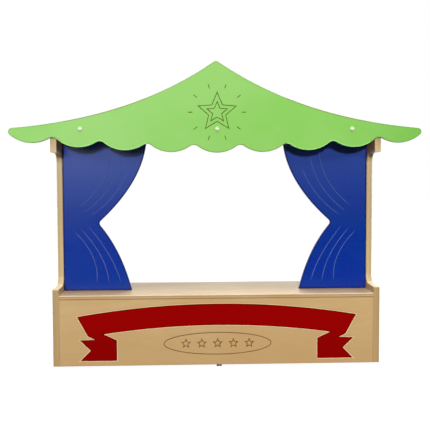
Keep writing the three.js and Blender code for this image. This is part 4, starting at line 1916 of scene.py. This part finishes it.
@dataclass
class Studio:
    """Camera, lamps, pale floor and white surroundings."""

    camera_place: Triple = (-0.086, -2.1175, 0.554)
    yaw: float = math.radians(2.27)
    pitch: float = math.radians(2.93)
    roll: float = math.radians(0.19)
    lens: float = 57.0
    sensor: float = 36.0
    key_bearing: float = -4.0
    key_height: float = 9.2
    key_distance: float = 4.0
    key_power: float = 2.1
    key_breadth: float = math.radians(4.0)
    softboxes: tuple[Softbox, ...] = (
        Softbox("left_softbox", -20.0, 17.0, 23.0, 1.7, 1.7, wash=False),
        Softbox("top_softbox", 4.0, 73.0, 85.0, 1.1, 1.1),
        Softbox("back_softbox", 165.0, 40.0, 45.0, 2.0, 2.0),
        Softbox("left_fill", -66.0, 11.0, 24.0, 0.7, 0.4),
        Softbox("right_fill", 66.0, 11.0, 30.0, 0.7, 0.4),
        Softbox("left_side_fill", -105.0, 15.0, 30.0, 1.6, 1.6),
        Softbox("right_side_fill", 105.0, 15.0, 30.0, 1.6, 1.6),
    )
    ambient: float = 0.02
    front_gloss: float = 0.03
    back_span: Point = (-0.1, 0.3)
    floor_half: float = 14.0
    floor_shade: float = 0.14
    floor_glows: Point = (0.94, 1.0)
    floor_fade: Point = (0.9, 2.4)
    floor_back_span: Point = (0.0, 0.4)

    def camera(self) -> None:
        """Sets the camera at the photograph's place and angle."""
        flat = math.cos(self.pitch)
        ahead = Vector((math.sin(self.yaw) * flat, math.cos(self.yaw) * flat, -math.sin(self.pitch)))
        level = Vector((math.cos(self.yaw), -math.sin(self.yaw), 0.0))
        down = ahead.cross(level)
        right = math.cos(self.roll) * level + math.sin(self.roll) * down
        below = -math.sin(self.roll) * level + math.cos(self.roll) * down
        data = bpy.data.cameras.new("camera")
        data.lens = self.lens
        data.sensor_width = self.sensor
        made = placed("camera", data)
        turn = Matrix((right, -below, -ahead)).transposed().to_4x4()
        made.matrix_world = Matrix.Translation(self.camera_place) @ turn
        bpy.context.scene.camera = made

    def hang(self, name: str, data: bpy.types.Light, bearing: float, height: float,
             distance: float) -> bpy.types.Object:
        """Puts a lamp out at a bearing and height angle, in degrees, looking at the stage.

        Args:
            name: The lamp's name.
            data: Its light.
            bearing: The angle from straight in front, towards the right.
            height: The angle above the table.
            distance: How far from the stage's middle it hangs.

        Returns:
            The lamp.
        """
        flat, up = math.radians(bearing), math.radians(height)
        way = Vector((math.sin(flat) * math.cos(up), -math.cos(flat) * math.cos(up), math.sin(up)))
        lamp = placed(name, data)
        lamp.location = (Vector(CAD_BOX[0]) + Vector(CAD_BOX[1])) / 2 + way * distance
        lamp.rotation_mode = "QUATERNION"
        lamp.rotation_quaternion = way.to_track_quat("Z", "Y")
        return lamp

    def light(self) -> None:
        """Adds the key light, which leaves no glare of its own on the paint, and the softboxes."""
        key = bpy.data.lights.new("key", "SUN")
        key.energy = self.key_power
        key.angle = self.key_breadth
        lamp = self.hang("key", key, self.key_bearing, self.key_height, self.key_distance)
        lamp.visible_glossy = False
        for box in self.softboxes:
            data = bpy.data.lights.new(box.name, "AREA")
            data.energy = box.power
            data.shape = "RECTANGLE"
            data.size, data.size_y = box.width, box.rise
            lamp = self.hang(box.name, data, box.bearing, box.height, box.distance)
            lamp.visible_diffuse = box.wash

    def surroundings(self) -> None:
        """Makes the world white to the eye and in reflections of the back, and calm elsewhere."""
        world = bpy.data.worlds.new("surroundings")
        bpy.context.scene.world = world
        world.use_nodes = True
        sheet = NodeSheet(world.node_tree)
        calm, dim, white = [
            sheet.node("ShaderNodeBackground", None, {"Color": WHITE, "Strength": strength})
            for strength in (self.ambient, self.front_gloss, 1.0)]
        way = sheet.node("ShaderNodeTexCoord", None, None, "Generated")
        reflected = sheet.blend(way.part(1).between(*self.back_span), dim, white)
        unseen = sheet.blend(sheet.ray("Is Glossy Ray"), calm, reflected)
        sheet.end("ShaderNodeOutputWorld", sheet.blend(sheet.seen(), unseen, white))

    def floor(self) -> None:
        """Lays a pale floor that keeps the object's soft shadow."""
        half = self.floor_half
        mesh = bpy.data.meshes.new("floor")
        corners = [(-half, -half, 0.0), (half, -half, 0.0), (half, half, 0.0), (-half, half, 0.0)]
        mesh.from_pydata(corners, [], [(0, 1, 2, 3)])
        material = bpy.data.materials.new("pale_floor")
        material.use_nodes = True
        sheet = NodeSheet(material.node_tree)
        matt = sheet.node("ShaderNodeBsdfDiffuse", None, {"Color": (*[self.floor_shade] * 3, 1.0)})
        near, far = [sheet.node("ShaderNodeEmission", None, {"Strength": strength})
                     for strength in self.floor_glows]
        place = sheet.node("ShaderNodeTexCoord", None, None, "Object")
        glow = sheet.blend(place.length().between(*self.floor_fade), near, far)
        bright = sheet.node("ShaderNodeAddShader", None, {0: matt, 1: glow})
        behind = sheet.ray("Is Glossy Ray") * place.part(1).between(*self.floor_back_span)
        seen = sheet.seen().maths("MAXIMUM", behind)
        sheet.end("ShaderNodeOutputMaterial", sheet.blend(seen, matt, bright))
        mesh.materials.append(material)
        floor = placed("floor", mesh)
        floor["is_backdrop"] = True

    def build(self) -> None:
        """Sets up the whole studio."""
        self.camera()
        self.light()
        self.surroundings()
        self.floor()
        bpy.context.scene.view_settings.view_transform = "Standard"


def write_sizes() -> None:
    """Works out the CAD model's box and the dressed model's box, and keeps neither."""
    boxes = {"cad": CAD_BOX, "visual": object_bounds()}
    {name: [list(corner) for corner in box] for name, box in boxes.items()}


def main() -> None:
    """Builds the studio and every sub-assembly in order, and reports each piece."""
    logging.basicConfig(level=logging.INFO, format="%(name)s: %(message)s")
    Studio().build()
    palette = Palette.mixed()
    for assembly in (SideFrames, InnerBoards, FrontPanel, TentRoof, Curtains, Fasteners):
        for piece in assembly(palette).build():
            LOG.info("%s: made %s", assembly.__name__, piece)
    write_sizes()


if __name__ == "__main__":
    main()
